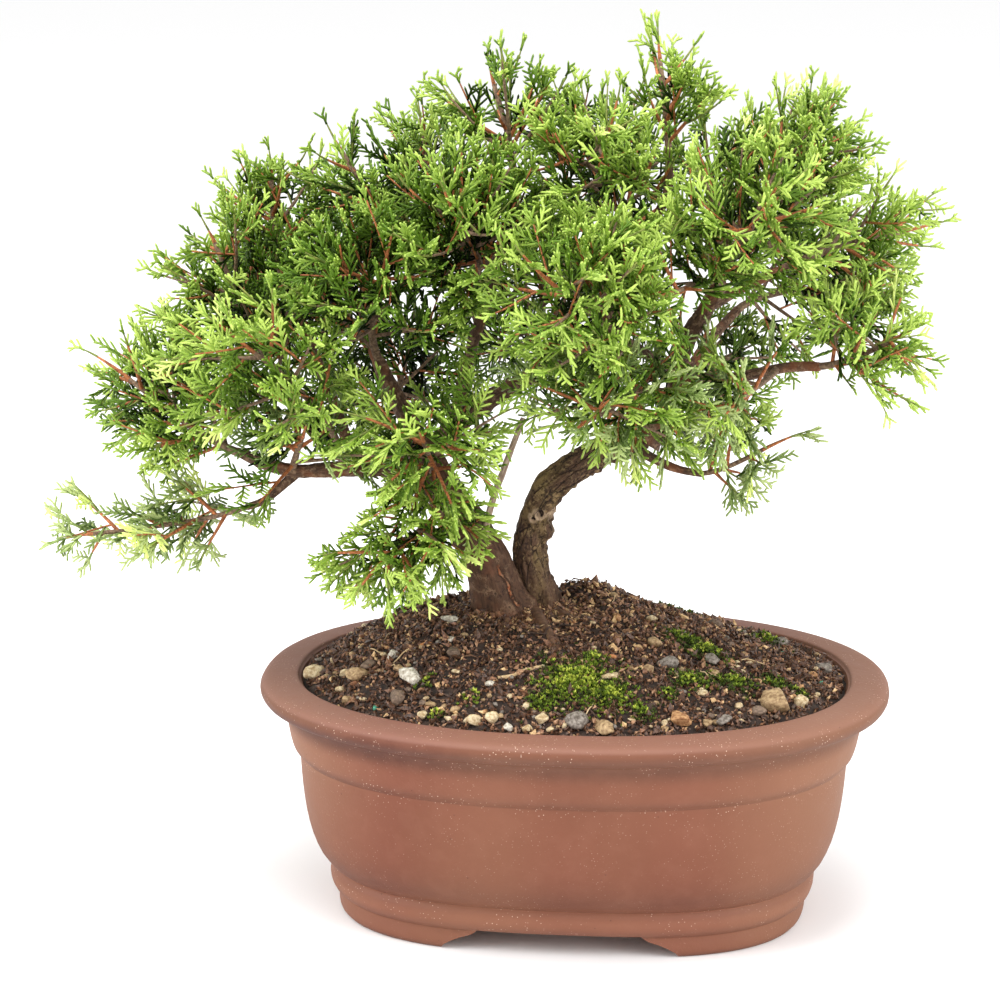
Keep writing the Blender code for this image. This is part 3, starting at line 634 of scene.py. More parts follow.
class Finish:
    """A material under making, with its Principled shader."""

    def __init__(self, name, colour, roughness, **constants):
        self.material = bpy.data.materials.new(name)
        self.material.use_nodes = True
        self.tree = self.material.node_tree
        self.shader = self.tree.nodes["Principled BSDF"]
        self.set("Base Color", (*colour, 1.0))
        self.set("Roughness", roughness)
        for socket, value in constants.items():
            self.set(socket.replace("_", " "), value)
        self.material.diffuse_color = (*colour, 1.0)

    def set(self, name, value):
        """Links or sets one of the shader's sockets."""
        socket = self.shader.inputs[name]
        if isinstance(value, Wire):
            self.tree.links.new(value.socket, socket)
        else:
            socket.default_value = value

    def node(self, kind, settings, sockets, out=0):
        """Adds a node: its settings first, then the values or links of its sockets."""
        node = self.tree.nodes.new(kind)
        for name, value in settings.items():
            setattr(node, name, value)
        for name, value in sockets.items():
            if isinstance(value, Wire):
                self.tree.links.new(value.socket, node.inputs[name])
            else:
                node.inputs[name].default_value = value
        return Wire(self, node.outputs[out])

    def place(self, scale=(1, 1, 1)):
        """Object coordinates in millimetres, stretched by the scale."""
        at = self.node("ShaderNodeTexCoord", {}, {}, "Object")
        return self.node("ShaderNodeVectorMath", {"operation": "MULTIPLY"}, {
            0: at, 1: tuple(1000 * s for s in scale)})

    def grain(self, scale):
        """Coordinates round and along a limb, in millimetres, stretched by the scale."""
        at = self.node("ShaderNodeUVMap", {"uv_map": "grain"}, {})
        return self.node("ShaderNodeVectorMath", {"operation": "MULTIPLY"}, {
            0: at, 1: (*scale, 1.0)})

    def noise(self, at, size, detail=3.0, roughness=0.5, distortion=0.0):
        """Cloudy noise from 0 to 1; size is the width of one cloud in millimetres."""
        return self.node("ShaderNodeTexNoise", {}, {
            "Vector": at, "Scale": 1 / size, "Detail": detail, "Roughness": roughness,
            "Distortion": distortion})

    def cells(self, at, size, feature="F1"):
        """The distance from the nearest of scattered points, or from the edges between them."""
        return self.node("ShaderNodeTexVoronoi", {"feature": feature}, {
            "Vector": at, "Scale": 1 / size}, "Distance")

    def away(self, point):
        """The distance in millimetres from a point, given from the middle of the pot's foot."""
        middle = tuple(point + POT_PLACE / METRES)
        return self.node("ShaderNodeVectorMath", {"operation": "DISTANCE"}, {
            0: self.place(), 1: middle}, 1)

    def part(self, at, axis):
        """One of the three parts of a vector."""
        return self.node("ShaderNodeSeparateXYZ", {}, {0: at}, axis)

    def strip(self, route, half_width, edge_width):
        """Shares of a ragged strip that runs along a limb, and of the edge round it."""
        round_at, lean, low, high = route
        at = self.grain((1.0, 1.0))
        along = self.part(at, 1)
        ragged = self.noise(at, 3.2, 4.0, 0.7)
        off = abs(self.part(at, 0) - round_at - along * lean + (ragged - 0.5) * 5.0)
        ends = along.over(low, 0.6) * (1 - along.over(high, 1.2))
        inside = (1 - off.over(half_width, 0.2)) * ends
        return inside, (1 - off.over(half_width + edge_width, 0.4)) * ends - inside

    def blend(self, share, first, second):
        """A colour between two colours, or one laid over another."""
        first = first if isinstance(first, Wire) else (*first, 1.0)
        second = second if isinstance(second, Wire) else (*second, 1.0)
        return self.node("ShaderNodeMix", {"data_type": "RGBA"}, {
            0: share, 6: first, 7: second}, 2)

    def layered(self, colour, *layers):
        """A colour with others laid over it in turn, each by its own share."""
        for share, over in layers:
            colour = self.blend(share, colour, over)
        return colour

    def bump(self, height, depth):
        """Relief of the given depth in millimetres on the shader's normal."""
        self.set("Normal", self.node("ShaderNodeBump", {}, {
            "Height": height, "Distance": depth * METRES, "Strength": 1.0}))


def srgb(red, green, blue):
    """Linear colour from the usual 0 to 255 values."""
    return tuple(((c / 255 + 0.055) / 1.055) ** 2.4 if c > 10 else c / 3295
                 for c in (red, green, blue))


def clay_finish():
    """Unglazed clay, dusty on its ridges and pitted, with painted shade under its lip, on its lip's
    face, low on its wall and on faces turned down, and painted light in wide bands, on faces turned up
    and on its foot.
    """
    clay = Finish("pot_clay", srgb(118, 72, 52), 0.62, Specular_IOR_Level=0.25)
    at = clay.place()
    cloud = clay.noise(at, 38, 3.0)
    fine = clay.noise(at, 6, 4.0, 0.6)
    wide_light_bands = clay.noise(clay.place((1, 0.35, 0.2)), 70, 1.0)
    patches = clay.noise(at, 11, 3.0)
    height = clay.part(at, 2) - POT_PLACE.z / METRES
    facing = clay.part(clay.node("ShaderNodeTexCoord", {}, {}, "Normal"), 2)
    ends = abs(clay.part(at, 0) - POT_PLACE.x / METRES).over(70, 24)
    # Painted shade: a darker band under the lip, low on the wall, on the lip's face and on faces
    # turned down
    under_lip_shade = height.over(NECK, 3.0) * (1 - height.over(LIP_BOTTOM, 1.0))
    low_wall_shade = height.over(15, 2.0) * (1 - height.over(42.0, 16.0))
    lip_face = height.over(70.5, 0.6) * (1 - facing.over(0.7, 0.2))
    lip_shade = lip_face * (0.9 - height.over(73.0, 1.8) * 0.45)
    underside_shade = 1 - facing.over(-0.35, 0.2)
    foot = 1 - height.over(FOOT_TOP, 3.0)
    ridges = (height.over(BEAD[0], 1.0) * (1 - height.over(BEAD[1], 1.0))
              + height.over(66.5, 1.0) + height.over(8.0, 1.0) * (1 - height.over(FOOT_TOP, 1.0)))
    specks = 1 - clay.cells(at, 1.1).over(0.14, 0.05)
    dust = specks * patches.over(0.52, 0.10) * (ridges * 0.7 + 0.3)
    pits = 1 - clay.cells(clay.place((1.3, 1.1, 1.2)), 7.5).over(0.035, 0.012)
    front = clay.blend(cloud.over(0.5, 0.18), srgb(110, 62, 44), srgb(118, 68, 50))
    clay.set("Base Color", clay.layered(
        front,
        (ends * 0.8, srgb(138, 98, 74)),
        # painted shade under the lip
        (under_lip_shade * 0.8, srgb(76, 43, 33)),
        # painted shade low on the wall
        (low_wall_shade * 0.35, srgb(98, 50, 33)),
        (lip_shade, srgb(78, 44, 35)),
        # painted light on faces turned up
        (facing.over(0.6, 0.2) * 0.6, srgb(140, 102, 91)),
        # painted shade on faces turned down
        (underside_shade * 0.5, srgb(84, 50, 39)),
        # painted light on the foot
        (foot * 0.35, srgb(146, 98, 78)),
        (fine.over(0.56, 0.14) * 0.14, srgb(140, 96, 80)),
        # painted light in wide lighter bands
        (wide_light_bands.over(0.60, 0.12) * 0.35, srgb(134, 94, 70)),
        (dust * 0.8, srgb(214, 188, 168)),
        (pits * 0.5, srgb(84, 52, 42))))
    clay.set("Roughness", fine * 0.22 + 0.50)
    clay.bump(fine * 0.30 + clay.noise(at, 0.9, 2.0) * 0.55 + dust * 0.3 - pits, 0.16)
    return clay.material


def soil_finish():
    """Dark damp peat under the crumbs."""
    soil = Finish("soil", srgb(40, 29, 24), 0.92)
    at = soil.place()
    crumbs = soil.noise(at, 2.2, 5.0, 0.7)
    damp = soil.noise(at, 14, 2.0)
    body = soil.blend(crumbs.over(0.52, 0.2), srgb(24, 17, 14), srgb(72, 53, 42))
    body = soil.blend(damp * 0.5, body, srgb(44, 31, 25))
    soil.set("Base Color", body)
    soil.bump(crumbs, 0.8)
    return soil.material


def speckled(name, low, high, size, roughness, depth=0.25):
    """A finish whose colour wanders between two tones over the given size."""
    stuff = Finish(name, high, roughness)
    at = stuff.place()
    cloud = stuff.noise(at, size, 4.0, 0.6)
    stuff.set("Base Color", stuff.blend(cloud.over(0.5, 0.2), low, high))
    stuff.bump(cloud, depth)
    return stuff.material


STONE_TONES = (("cream_stone", srgb(150, 122, 82), srgb(218, 200, 164), 1.2, 0.75),
               ("tan_stone", srgb(116, 88, 58), srgb(186, 158, 118), 1.2, 0.75),
               ("grey_stone", srgb(78, 68, 58), srgb(150, 140, 130), 1.0, 0.75),
               ("brown_stone", srgb(82, 66, 54), srgb(132, 110, 92), 1.0, 0.75),
               ("rust_stone", srgb(128, 82, 48), srgb(194, 150, 104), 1.2, 0.75),
               ("white_stone", srgb(150, 138, 120), srgb(228, 222, 208), 1.0, 0.75),
               ("green_stone", srgb(40, 104, 84), srgb(84, 160, 132), 1.5, 0.6))
STONE_SHARES = (0.30, 0.24, 0.16, 0.20, 0.10)

# Six greens from shade to sunlit tips, then three greyer ones, GREY_TONES further on than the
# greens that they stand in for
FOLIAGE_TONES = (srgb(15, 26, 2), srgb(40, 60, 7), srgb(82, 113, 22), srgb(128, 157, 52),
                 srgb(174, 199, 88), srgb(214, 229, 128), srgb(84, 105, 44), srgb(128, 149, 80),
                 srgb(172, 188, 118))
FOLIAGE_SHINE = (0.05, 0.10, 0.24, 0.38, 0.45, 0.50, 0.24, 0.38, 0.45)
LIGHTEST = 5
LIGHT_TIP = 4
GREY_TONES = 4


def foliage_finishes():
    """A plain green for each tone, with the shine of its own."""
    finishes = []
    for i, (tone, shine) in enumerate(zip(FOLIAGE_TONES, FOLIAGE_SHINE)):
        leaf = Finish(f"juniper_tone_{i}", tone, 0.45, Specular_IOR_Level=shine)
        finishes.append(leaf.material)
    return finishes


# Pot and soil

def oval(half_width, squareness, sides):
    """The pot's plan at one height: squareness 2 is an ellipse, and more is squarer."""
    half_depth = half_width - DEPTH_LESS
    turns = np.arange(sides) * 2 * math.pi / sides
    cos, sin = np.cos(turns), np.sin(turns)
    across = np.sign(cos) * np.abs(cos) ** (2 / squareness) * half_width
    deep = np.sign(sin) * np.abs(sin) ** (2 / squareness) * half_depth
    return np.stack([across, deep], 1)


def squareness_at(height):
    """How square the plan is, from the foot's at the floor to the rim's at the top."""
    share = min(1.0, height / RIM_HEIGHT)
    return FOOT_SQUARENESS + (RIM_SQUARENESS - FOOT_SQUARENESS) * share


def oval_rings(profile, sides):
    """A ring of the pot's plan for each half width and height of the profile."""
    rings = []
    for half_width, height in profile:
        plan = oval(half_width, squareness_at(height), sides)
        rings.append(np.column_stack([plan, np.full(sides, height)]))
    return rings


def make_pot(clay):
    """The pot turned to its moulded profile, with the cut-away between its two feet."""
    profile = []
    spans = len(POT_PROFILE) - 1
    for i in range(spans * SPAN_RINGS + 1):
        point = smooth_point([(a, 0, z) for a, z in POT_PROFILE], i / (spans * SPAN_RINGS))
        profile.append((point.x, max(0.0, point.z)))
    rings = oval_rings([*profile, (FLOOR_HALF_WIDTH, FLOOR)], POT_SIDES)
    pot = closed_band(rings, "clay_pot", [clay], "pot_clay", ["pot"])
    outline = [*ARCH_RISE, *((-x, z) for x, z in reversed(ARCH_RISE))]
    arch = closed_band([[(x, y, z) for x, z in outline] for y in (-ARCH_REACH, ARCH_REACH)],
                       "foot_arch", [clay], None)
    boolean = pot.modifiers.new("arch", "BOOLEAN")
    boolean.operation = "DIFFERENCE"
    boolean.solver = "MANIFOLD"
    boolean.object = arch
    graph = bpy.context.evaluated_depsgraph_get()
    mesh = bpy.data.meshes.new_from_object(pot.evaluated_get(graph))
    pot.modifiers.clear()
    pot.data = mesh
    bpy.data.objects.remove(arch, do_unlink=True)
    crisp_edges(pot, CRISP_ANGLE)
    return pot


def soil_share(x, y):
    """0 at the edge of the level place under the trunks, and 1 at the pot's wall."""
    dx, dy = x - TRUNK_PLACE[0], y - TRUNK_PLACE[1]
    away = math.hypot(dx, dy)
    if away < LEVEL_RADIUS:
        return 0.0
    turn = math.atan2(dy, dx)
    low, high = LEVEL_RADIUS, BEYOND_WALL
    for _ in range(WALL_HALVINGS):
        middle = (low + high) / 2
        px = TRUNK_PLACE[0] + middle * math.cos(turn)
        py = TRUNK_PLACE[1] + middle * math.sin(turn)
        half_depth = SOIL_HALF_WIDTH - DEPTH_LESS
        inside = abs(px / SOIL_HALF_WIDTH) ** RIM_SQUARENESS + abs(py / half_depth) ** RIM_SQUARENESS
        if inside < 1:
            low = middle
        else:
            high = middle
    return min(1.0, (away - LEVEL_RADIUS) / (low - LEVEL_RADIUS))


def soil_height(x, y):
    """The top of the soil, with its lumps."""
    share = soil_share(x, y)
    mound = SOIL_EDGE + (GROUND - GAP - SOIL_EDGE) * (1 - share ** MOUND_POWER)
    away = math.dist((x, y), HUMP_PLACE) / HUMP_SPREAD
    rise = min(1.0, share / HUMP_FADE)
    height = mound + HUMP * rise * math.exp(-away * away)
    lumps = noise.fractal(Vector((x * LUMP_PITCH, y * LUMP_PITCH, 3.0)), 1.0, 2.0, 4)
    grains = noise.noise(Vector((x * GRAIN_PITCH, y * GRAIN_PITCH, 9.0)))
    relief = lumps * LUMP_HEIGHT + grains * GRAIN_HEIGHT
    return height + relief * (LEVEL_LUMPS + (1 - LEVEL_LUMPS) * rise) - BED_SUNK


def make_soil(finish):
    """The bed of soil: rings that close in from the wall to the trunks, and a skirt below."""
    heap = Heap()
    edge = oval(SOIL_HALF_WIDTH, RIM_SQUARENESS, BED_SIDES)
    middle = np.array(TRUNK_PLACE)
    points = []
    for row in range(BED_ROWS):
        share = 1 - row / (BED_ROWS - 1) * BED_INSET
        for x, y in middle + (edge - middle) * share:
            points.append((x, y, soil_height(x, y)))
    heap.add(points, band_faces(BED_ROWS, BED_SIDES))
    skirt = [(x, y, BED_FOOT) for x, y in edge]
    top = points[:BED_SIDES]
    heap.add(skirt + top, band_faces(2, BED_SIDES))
    return heap.piece("soil_bed", [finish], "soil", ["soil"])


def ball(steps):
    """Points and faces of a ball of unit radius."""
    shape = bmesh.new()
    bmesh.ops.create_icosphere(shape, subdivisions=steps, radius=1.0)
    points = np.array([v.co for v in shape.verts])
    faces = np.array([[v.index for v in face.verts] for face in shape.faces])
    shape.free()
    return points, faces


def rugged(points, seed, amount, pitch):
    """The ball with its surface pushed in and out and chipped flat in places, for a stone."""
    rng = np.random.default_rng(seed)
    cuts = []
    for _ in range(STONE_CHIPS):
        out = rng.normal(size=3)
        cuts.append((out / np.linalg.norm(out), rng.uniform(*CHIP_DEPTH)))
    shaped = []
    for p in points:
        lump = noise.noise(Vector(p) * pitch + Vector((seed * 7.3, seed, -seed)))
        p = p * (1 + amount * lump)
        for out, reach in cuts:
            p = p - out * max(0.0, p @ out - reach)
        shaped.append(p)
    return np.array(shaped)


def turned(rng):
    """A random turn, as a 3 by 3 array."""
    q = rng.normal(size=4)
    q /= np.linalg.norm(q)
    w, x, y, z = q
    return np.array([[1 - 2 * (y * y + z * z), 2 * (x * y - z * w), 2 * (x * z + y * w)],
                     [2 * (x * y + z * w), 1 - 2 * (x * x + z * z), 2 * (y * z - x * w)],
                     [2 * (x * z - y * w), 2 * (y * z + x * w), 1 - 2 * (x * x + y * y)]])


def wall_share(x, y):
    """0 at the middle of the pot and 1 at its inner wall."""
    half_depth = SOIL_HALF_WIDTH - DEPTH_LESS
    reach = abs(x / SOIL_HALF_WIDTH) ** RIM_SQUARENESS + abs(y / half_depth) ** RIM_SQUARENESS
    return reach ** (1 / RIM_SQUARENESS)


def on_bed(rng, inset=0.97):
    """A random place on the soil, away from the wall and from the trunks."""
    while True:
        x = rng.uniform(-SOIL_HALF_WIDTH, SOIL_HALF_WIDTH)
        y = rng.uniform(-SOIL_HALF_WIDTH, SOIL_HALF_WIDTH) * BED_DEPTH_SHARE
        if wall_share(x, y) < inset and math.dist((x, y), TRUNK_PLACE) > TRUNK_CLEAR:
            return x, y


def make_crumbs(finishes):
    """Peat crumbs, shreds and bark chips strewn thickly over the soil."""
    rng = np.random.default_rng(11)
    heap = Heap()
    ends = np.array([(1, 0, 0), (-1, 0, 0), (0, 1, 0), (0, -1, 0), (0, 0, 1), (0, 0, -1)], float)
    faces = [(0, 2, 4), (2, 1, 4), (1, 3, 4), (3, 0, 4), (2, 0, 5), (1, 2, 5), (3, 1, 5), (0, 3, 5)]
    corners = np.array([(1, 1, 1), (-1, -1, 1), (-1, 1, -1), (1, -1, -1)]) * 0.8
    small_faces = [(0, 1, 2), (0, 3, 1), (0, 2, 3), (1, 3, 2)]

    def lay(x, y, z):
        """Lays one shard, with painted shade darkening it by the wall and painted light lightening it
        in the middle.
        """
        size = rng.uniform(*CRUMB_SIZE) * (1.0 if rng.random() < SMALL_SHARE else LARGE_CRUMB)
        stretch = [rng.uniform(*limits) for limits in CRUMB_STRETCH]
        tone = rng.choice(4, p=CRUMB_TONES)
        if rng.random() < wall_share(x, y) * PAINTED_SHADE_BY_WALL:
            tone = max(0, tone - 1)
        elif rng.random() < PAINTED_LIGHT_IN_MIDDLE - wall_share(x, y) * PAINTED_LIGHT_FALL:
            tone = min(3, tone + 1)
        shape, sides = (ends, faces) if size > BIG_CRUMB else (corners, small_faces)
        shard = shape * rng.uniform(0.65, 1.25, (len(shape), 1)) * stretch * size
        place = (x, y, z + size * rng.uniform(0.0, 0.6))
        heap.add(shard @ turned(rng).T + place, sides, finish=tone)

    for _ in range(CRUMBS):
        x, y = on_bed(rng, 0.985)
        lay(x, y, soil_height(x, y) + max(0.0, rng.normal()) * 0.4)
    for foot_x, foot_y, radius in TRUNK_FEET:
        for _ in range(COLLAR_CRUMBS):
            turn = rng.uniform(0, 2 * math.pi)
            out = rng.uniform(0, 1)
            away = radius - 1.0 + COLLAR_WIDTH * out
            lay(foot_x + math.cos(turn) * away, foot_y + math.sin(turn) * away,
                GROUND - 1.2 + COLLAR_HEIGHT * (1 - out) * rng.uniform(0.2, 1.0))
    return heap.piece("soil_crumbs", finishes, "soil", smooth=False)


def lie_on_soil(route, lift):
    """A line over the soil through places seen from above."""
    line = []
    for i in range(7):
        x, y, _ = smooth_point([(x, y, 0) for x, y in route], i / 6)
        line.append(Vector((x, y, soil_height(x, y) + lift)))
    return line


def make_fibres(finishes):
    """Rootlets, straws and slivers of bark on the soil, and the roots at the trunks' foot."""
    rng = np.random.default_rng(5)
    heap = Heap()
    for _ in range(FIBRES):
        x, y = on_bed(rng, 0.93)
        turn = rng.uniform(0, 6.28)
        length = rng.uniform(*FIBRE_LENGTH)
        curl = rng.uniform(-FIBRE_CURL, FIBRE_CURL)
        line = []
        for step in range(6):
            z = soil_height(x, y) + 0.6 + (0.7 if step in (2, 3) else 0.1)
            line.append(Vector((x, y, z)))
            turn += curl * length / 5
            x += math.cos(turn) * length / 5
            y += math.sin(turn) * length / 5
        if wall_share(x, y) > 0.95:
            continue
        radius = rng.uniform(*FIBRE_RADIUS)
        tube(heap, line, [radius] * 5 + [radius * 0.5], 4, int(rng.choice(3, p=FIBRE_TONES)))
    for route, radius in ROOTS:
        radii = [radius * s for s in (1.25, 1.1, 1.0, 0.9, 0.78, 0.62, 0.4)]
        tube(heap, lie_on_soil(route, radius * -0.15), radii, 12)
    for route, radius, tone in SLIVERS:
        radii = [radius * s for s in (0.7, 1.0, 0.95, 1.0, 0.9, 0.75, 0.4)]
        tube(heap, lie_on_soil(route, radius * 0.35), radii, 8, tone)
    return heap.piece("soil_fibres", finishes, "soil")


def make_pebbles(finishes):
    """The stones that stand out, rows of small ones along the wall, grit, and the back's."""
    rng = np.random.default_rng(21)
    heap = Heap()
    balls = (ball(2), ball(3))
    kinds = [[rugged(points, seed + STONE_SEED, STONE_LUMPS, STONE_LUMP_PITCH)
              for seed in range(STONE_KINDS)] for points, _ in balls]
    taken = []

    def lay(x, y, size, tone):
        """Lays one stone, unless it would lie on another."""
        if any(math.dist((x, y), (a, b)) < (size + s) * 0.7 for a, b, s in taken):
            return
        taken.append((x, y, size))
        flat = np.array([rng.uniform(*limits) for limits in STONE_STRETCH])
        turn = rng.uniform(0, 6.28)
        cos, sin = math.cos(turn), math.sin(turn)
        spin = np.array([[cos, -sin, 0], [sin, cos, 0], [0, 0, 1]])
        fine = int(size > SMALL_STONE)
        shape = (kinds[fine][int(rng.integers(STONE_KINDS))] * flat * size) @ spin.T
        z = soil_height(x, y) + size * STONE_SHOWS
        heap.add(shape + (x, y, z), balls[fine][1], finish=tone)

    names = [tone[0] for tone in STONE_TONES]
    for x, y, width, tone in STONES:
        lay(x, y, width / 2.1, names.index(f"{tone}_stone"))
    half_depth = SOIL_HALF_WIDTH - DEPTH_LESS
    for from_turn, to_turn, count in WALL_STONES:
        for _ in range(count):
            turn = math.radians(rng.uniform(from_turn, to_turn))
            share = rng.uniform(*WALL_STONE_BAND)
            lay(SOIL_HALF_WIDTH * math.cos(turn) * share, half_depth * math.sin(turn) * share,
                rng.uniform(*WALL_STONE_SIZE), int(rng.choice(5, p=STONE_SHARES)))
    for _ in range(GRIT):
        x, y = on_bed(rng, 0.95)
        if rng.random() < wall_share(x, y):
            lay(x, y, rng.uniform(*GRIT_SIZE), int(rng.choice(5, p=STONE_SHARES)))
    for _ in range(BACK_STONES):
        x, y = on_bed(rng, 0.92)
        if y > BACK_FROM:
            lay(x, y, rng.uniform(*BACK_STONE_SIZE), int(rng.choice(5, p=STONE_SHARES)))
    return heap.piece("pebbles", finishes, "pebbles")


def make_moss(finishes):
    """Moss in cushions: tufts of small leaves, heaped over the middle of each patch."""
    rng = np.random.default_rng(3)
    heap = Heap()
    for middle_x, middle_y, spread, count in MOSS_PATCHES:
        for _ in range(count):
            x = middle_x + rng.normal() * spread * 0.5
            y = middle_y + rng.normal() * spread * 0.38
            if wall_share(x, y) > 0.95:
                continue
            away = math.hypot(x - middle_x, (y - middle_y) * 1.3) / spread
            lift = rng.uniform(0.1, 0.5 + MOSS_CUSHION * math.exp(-away * away * 2))
            z = soil_height(x, y) + lift
            shade = SHADY_MOSS if middle_x > SHADY_MOSS_FROM else 0.0
            tone = int(min(2, max(0, round(lift * 0.9 - shade + rng.normal() * 0.6))))
            spin = rng.uniform(0, 6.28)
            points, faces = [], []
            for k in range(MOSS_LEAVES):
                turn = spin + k * 2 * math.pi / MOSS_LEAVES
                lean = rng.uniform(*MOSS_LEAN)
                long = rng.uniform(*MOSS_LONG)
                out = Vector((math.cos(turn) * math.sin(lean), math.sin(turn) * math.sin(lean),
                              math.cos(lean)))
                side = out.cross(UP).normalized() * long * MOSS_HALF_WIDTH
                base = Vector((x, y, z))
                at = len(points)
                points += [base, base + out * long * 0.5 + side, base + out * long,
                           base + out * long * 0.5 - side]
                faces.append((at, at + 1, at + 2, at + 3))
            heap.add(points, faces, finish=tone)
    return heap.piece("moss", finishes, "moss", smooth=False)


# Trunks and boughs

def limb_girths(limb):
    """The solid's own rings: how far along each is, and its radius."""
    rng = random.Random(limb.name)
    steps = max(3, round(route_length(limb.route) / RING_STEP))
    if limb.flare:
        steps += FLARE_RINGS
    shares, radii = [], []
    for i in range(steps + 1):
        share = i / steps
        if limb.flare:
            share = share ** FLARE_CROWDING
        height = smooth_point(limb.route, share).z - limb.route[0][2]
        radius = limb.foot + (limb.tip - limb.foot) * share
        radius += limb.flare * math.exp(-height / FLARE_FALL)
        shares.append(share)
        radii.append(radius * rng.uniform(GIRTH_FROM, GIRTH_TO))
    return shares, radii


def under_skin(name, share, turn, sunk):
    """A point just inside a limb, from a share of its length and the turn from its right."""
    limb = next(limb for limb in LIMBS if limb.name == name)
    centres = [smooth_point(limb.route, i / 40) for i in range(41)]
    side, across = carried_frames(centres, bool(limb.flare))[round(share * 40)]
    radius = float(np.interp(share, *limb_girths(limb))) - sunk
    angle = math.radians(turn)
    return centres[round(share * 40)] + (side * math.cos(angle) + across * math.sin(angle)) * radius


def bark_place(out, along, pitch, shift):
    """A place in the noise for a point of the bark: its pitch across the grain, then along."""
    across, lengthwise = pitch
    return Vector((out[0] * across, out[1] * across, along * lengthwise + shift))


def knotted(push, name, share, length, angle, radius):
    """The bark's relief at one point, with the limb's knots raised and its holes sunk."""
    for knot_share, knot_turn, width, depth in KNOTS.get(name, ()):
        gap = (angle - math.radians(knot_turn) + math.pi) % (2 * math.pi) - math.pi
        away = math.hypot((share - knot_share) * length * KNOT_LONG, gap * radius) / width
        if away < KNOT_REACH:
            pit = math.exp(-away ** 4)
            if depth < HOLE_DEPTH:
                off = (away - HOLE_LIP_PLACE) ** 2
                push = push * (1 - pit) + HOLE_LIP * math.exp(-off * HOLE_LIP_SHARPNESS)
            push += depth * pit
    return push


def limb_skin(heap, grain, limb, step, sides, relief, finish=0):
    """One limb's bark: a fine tube with ridges along it, scales across it and its knots."""
    length = route_length(limb.route)
    rings = max(8, round(length / step))
    shares, radii = limb_girths(limb)
    centres = [smooth_point(limb.route, i / rings) for i in range(rings + 1)]
    frames = carried_frames(centres, bool(limb.flare))
    seed = sum(map(ord, limb.name)) * 0.37
    points = []
    for i, centre in enumerate(centres):
        share = i / rings
        side, across = frames[i]
        radius = float(np.interp(share, shares, radii))
        along = share * length
        if not limb.flare:
            radius *= 1 + JOIN_SWELL * math.exp(-along / JOIN_FALL)
        if share > ROUND_TIP_FROM:
            radius *= 0.8
        for k in range(sides):
            turn = 2 * math.pi * k / sides
            angle = turn + math.pi / 2
            cos, sin = math.cos(angle), math.sin(angle)
            out = (cos * radius, sin * radius)
            ridge = noise.fractal(bark_place(out, along, RIDGE_PITCH, seed), 0.8, 2.1, 3)
            fine = noise.noise(bark_place(out, along, FINE_PITCH, -seed))
            scales = noise.noise(bark_place(out, along, SCALE_PITCH, seed * 2))
            ragged = RAGGED_SIDE.get(limb.name, 0.0) * max(0.0, cos) * min(1.0, share * 3)
            push = relief * (ridge + fine * FINE_SHARE + max(0.0, scales) * (SCALE_SHARE + ragged))
            if limb.flare:
                height = max(0.0, centre.z - GROUND)
                push += radius * ROOT_SWELL * math.exp(-height / ROOT_FALL) * (
                    math.cos(ROOT_LOBES * angle + seed) + 0.5 * math.cos(3 * angle + 2 * seed))
            reach = radius + knotted(push, limb.name, share, length, angle, radius)
            points.append(centre + side * reach * cos + across * reach * sin)
            grain.append((turn, limb.foot, along))
    tip = [range(rings * sides, (rings + 1) * sides)]
    heap.add(points, band_faces(rings + 1, sides), tip, finish=finish)


def left_bark_finish():
    """Thin red-brown bark, nearly smooth, with a torn strip where it shows orange."""
    bark = Finish("left_bark", srgb(96, 68, 52), 0.75, Specular_IOR_Level=0.3)
    at = bark.place()
    streaks = bark.noise(bark.grain((1.0, 0.14)), 0.8, 5.0, 0.7, 0.6)
    mottle = bark.noise(at, 2.6, 5.0, 0.75)
    patches = bark.noise(at, 11, 3.0)
    shade = bark.noise(at, 1.3, 4.0, 0.7)
    chips = 1 - bark.cells(bark.grain((1.0, 0.6)), 1.6).over(0.16, 0.05)
    torn, edge = bark.strip(TORN_BARK, 0.5, 0.5)
    torn = torn * bark.noise(at, 2.5, 2.0).over(0.42, 0.06)
    under = bark.blend(mottle.over(0.5, 0.05), srgb(144, 82, 50), srgb(158, 116, 86))
    bark.set("Base Color", bark.layered(
        bark.blend(streaks.over(0.5, 0.25), srgb(64, 43, 32), srgb(98, 69, 50)),
        (mottle.over(0.55, 0.05) * 0.85, srgb(136, 106, 82)),
        (shade.over(0.57, 0.05) * 0.8, srgb(46, 30, 22)),
        (patches.over(0.58, 0.1) * 0.5, srgb(116, 68, 46)),
        (chips * 0.6, srgb(52, 35, 28)),
        (edge * 0.8, srgb(62, 38, 28)),
        (torn, under)))
    bark.bump(streaks * 0.5 + mottle * 0.5 - chips * 0.5 + torn * 0.8 - edge, 0.5)
    return bark.material


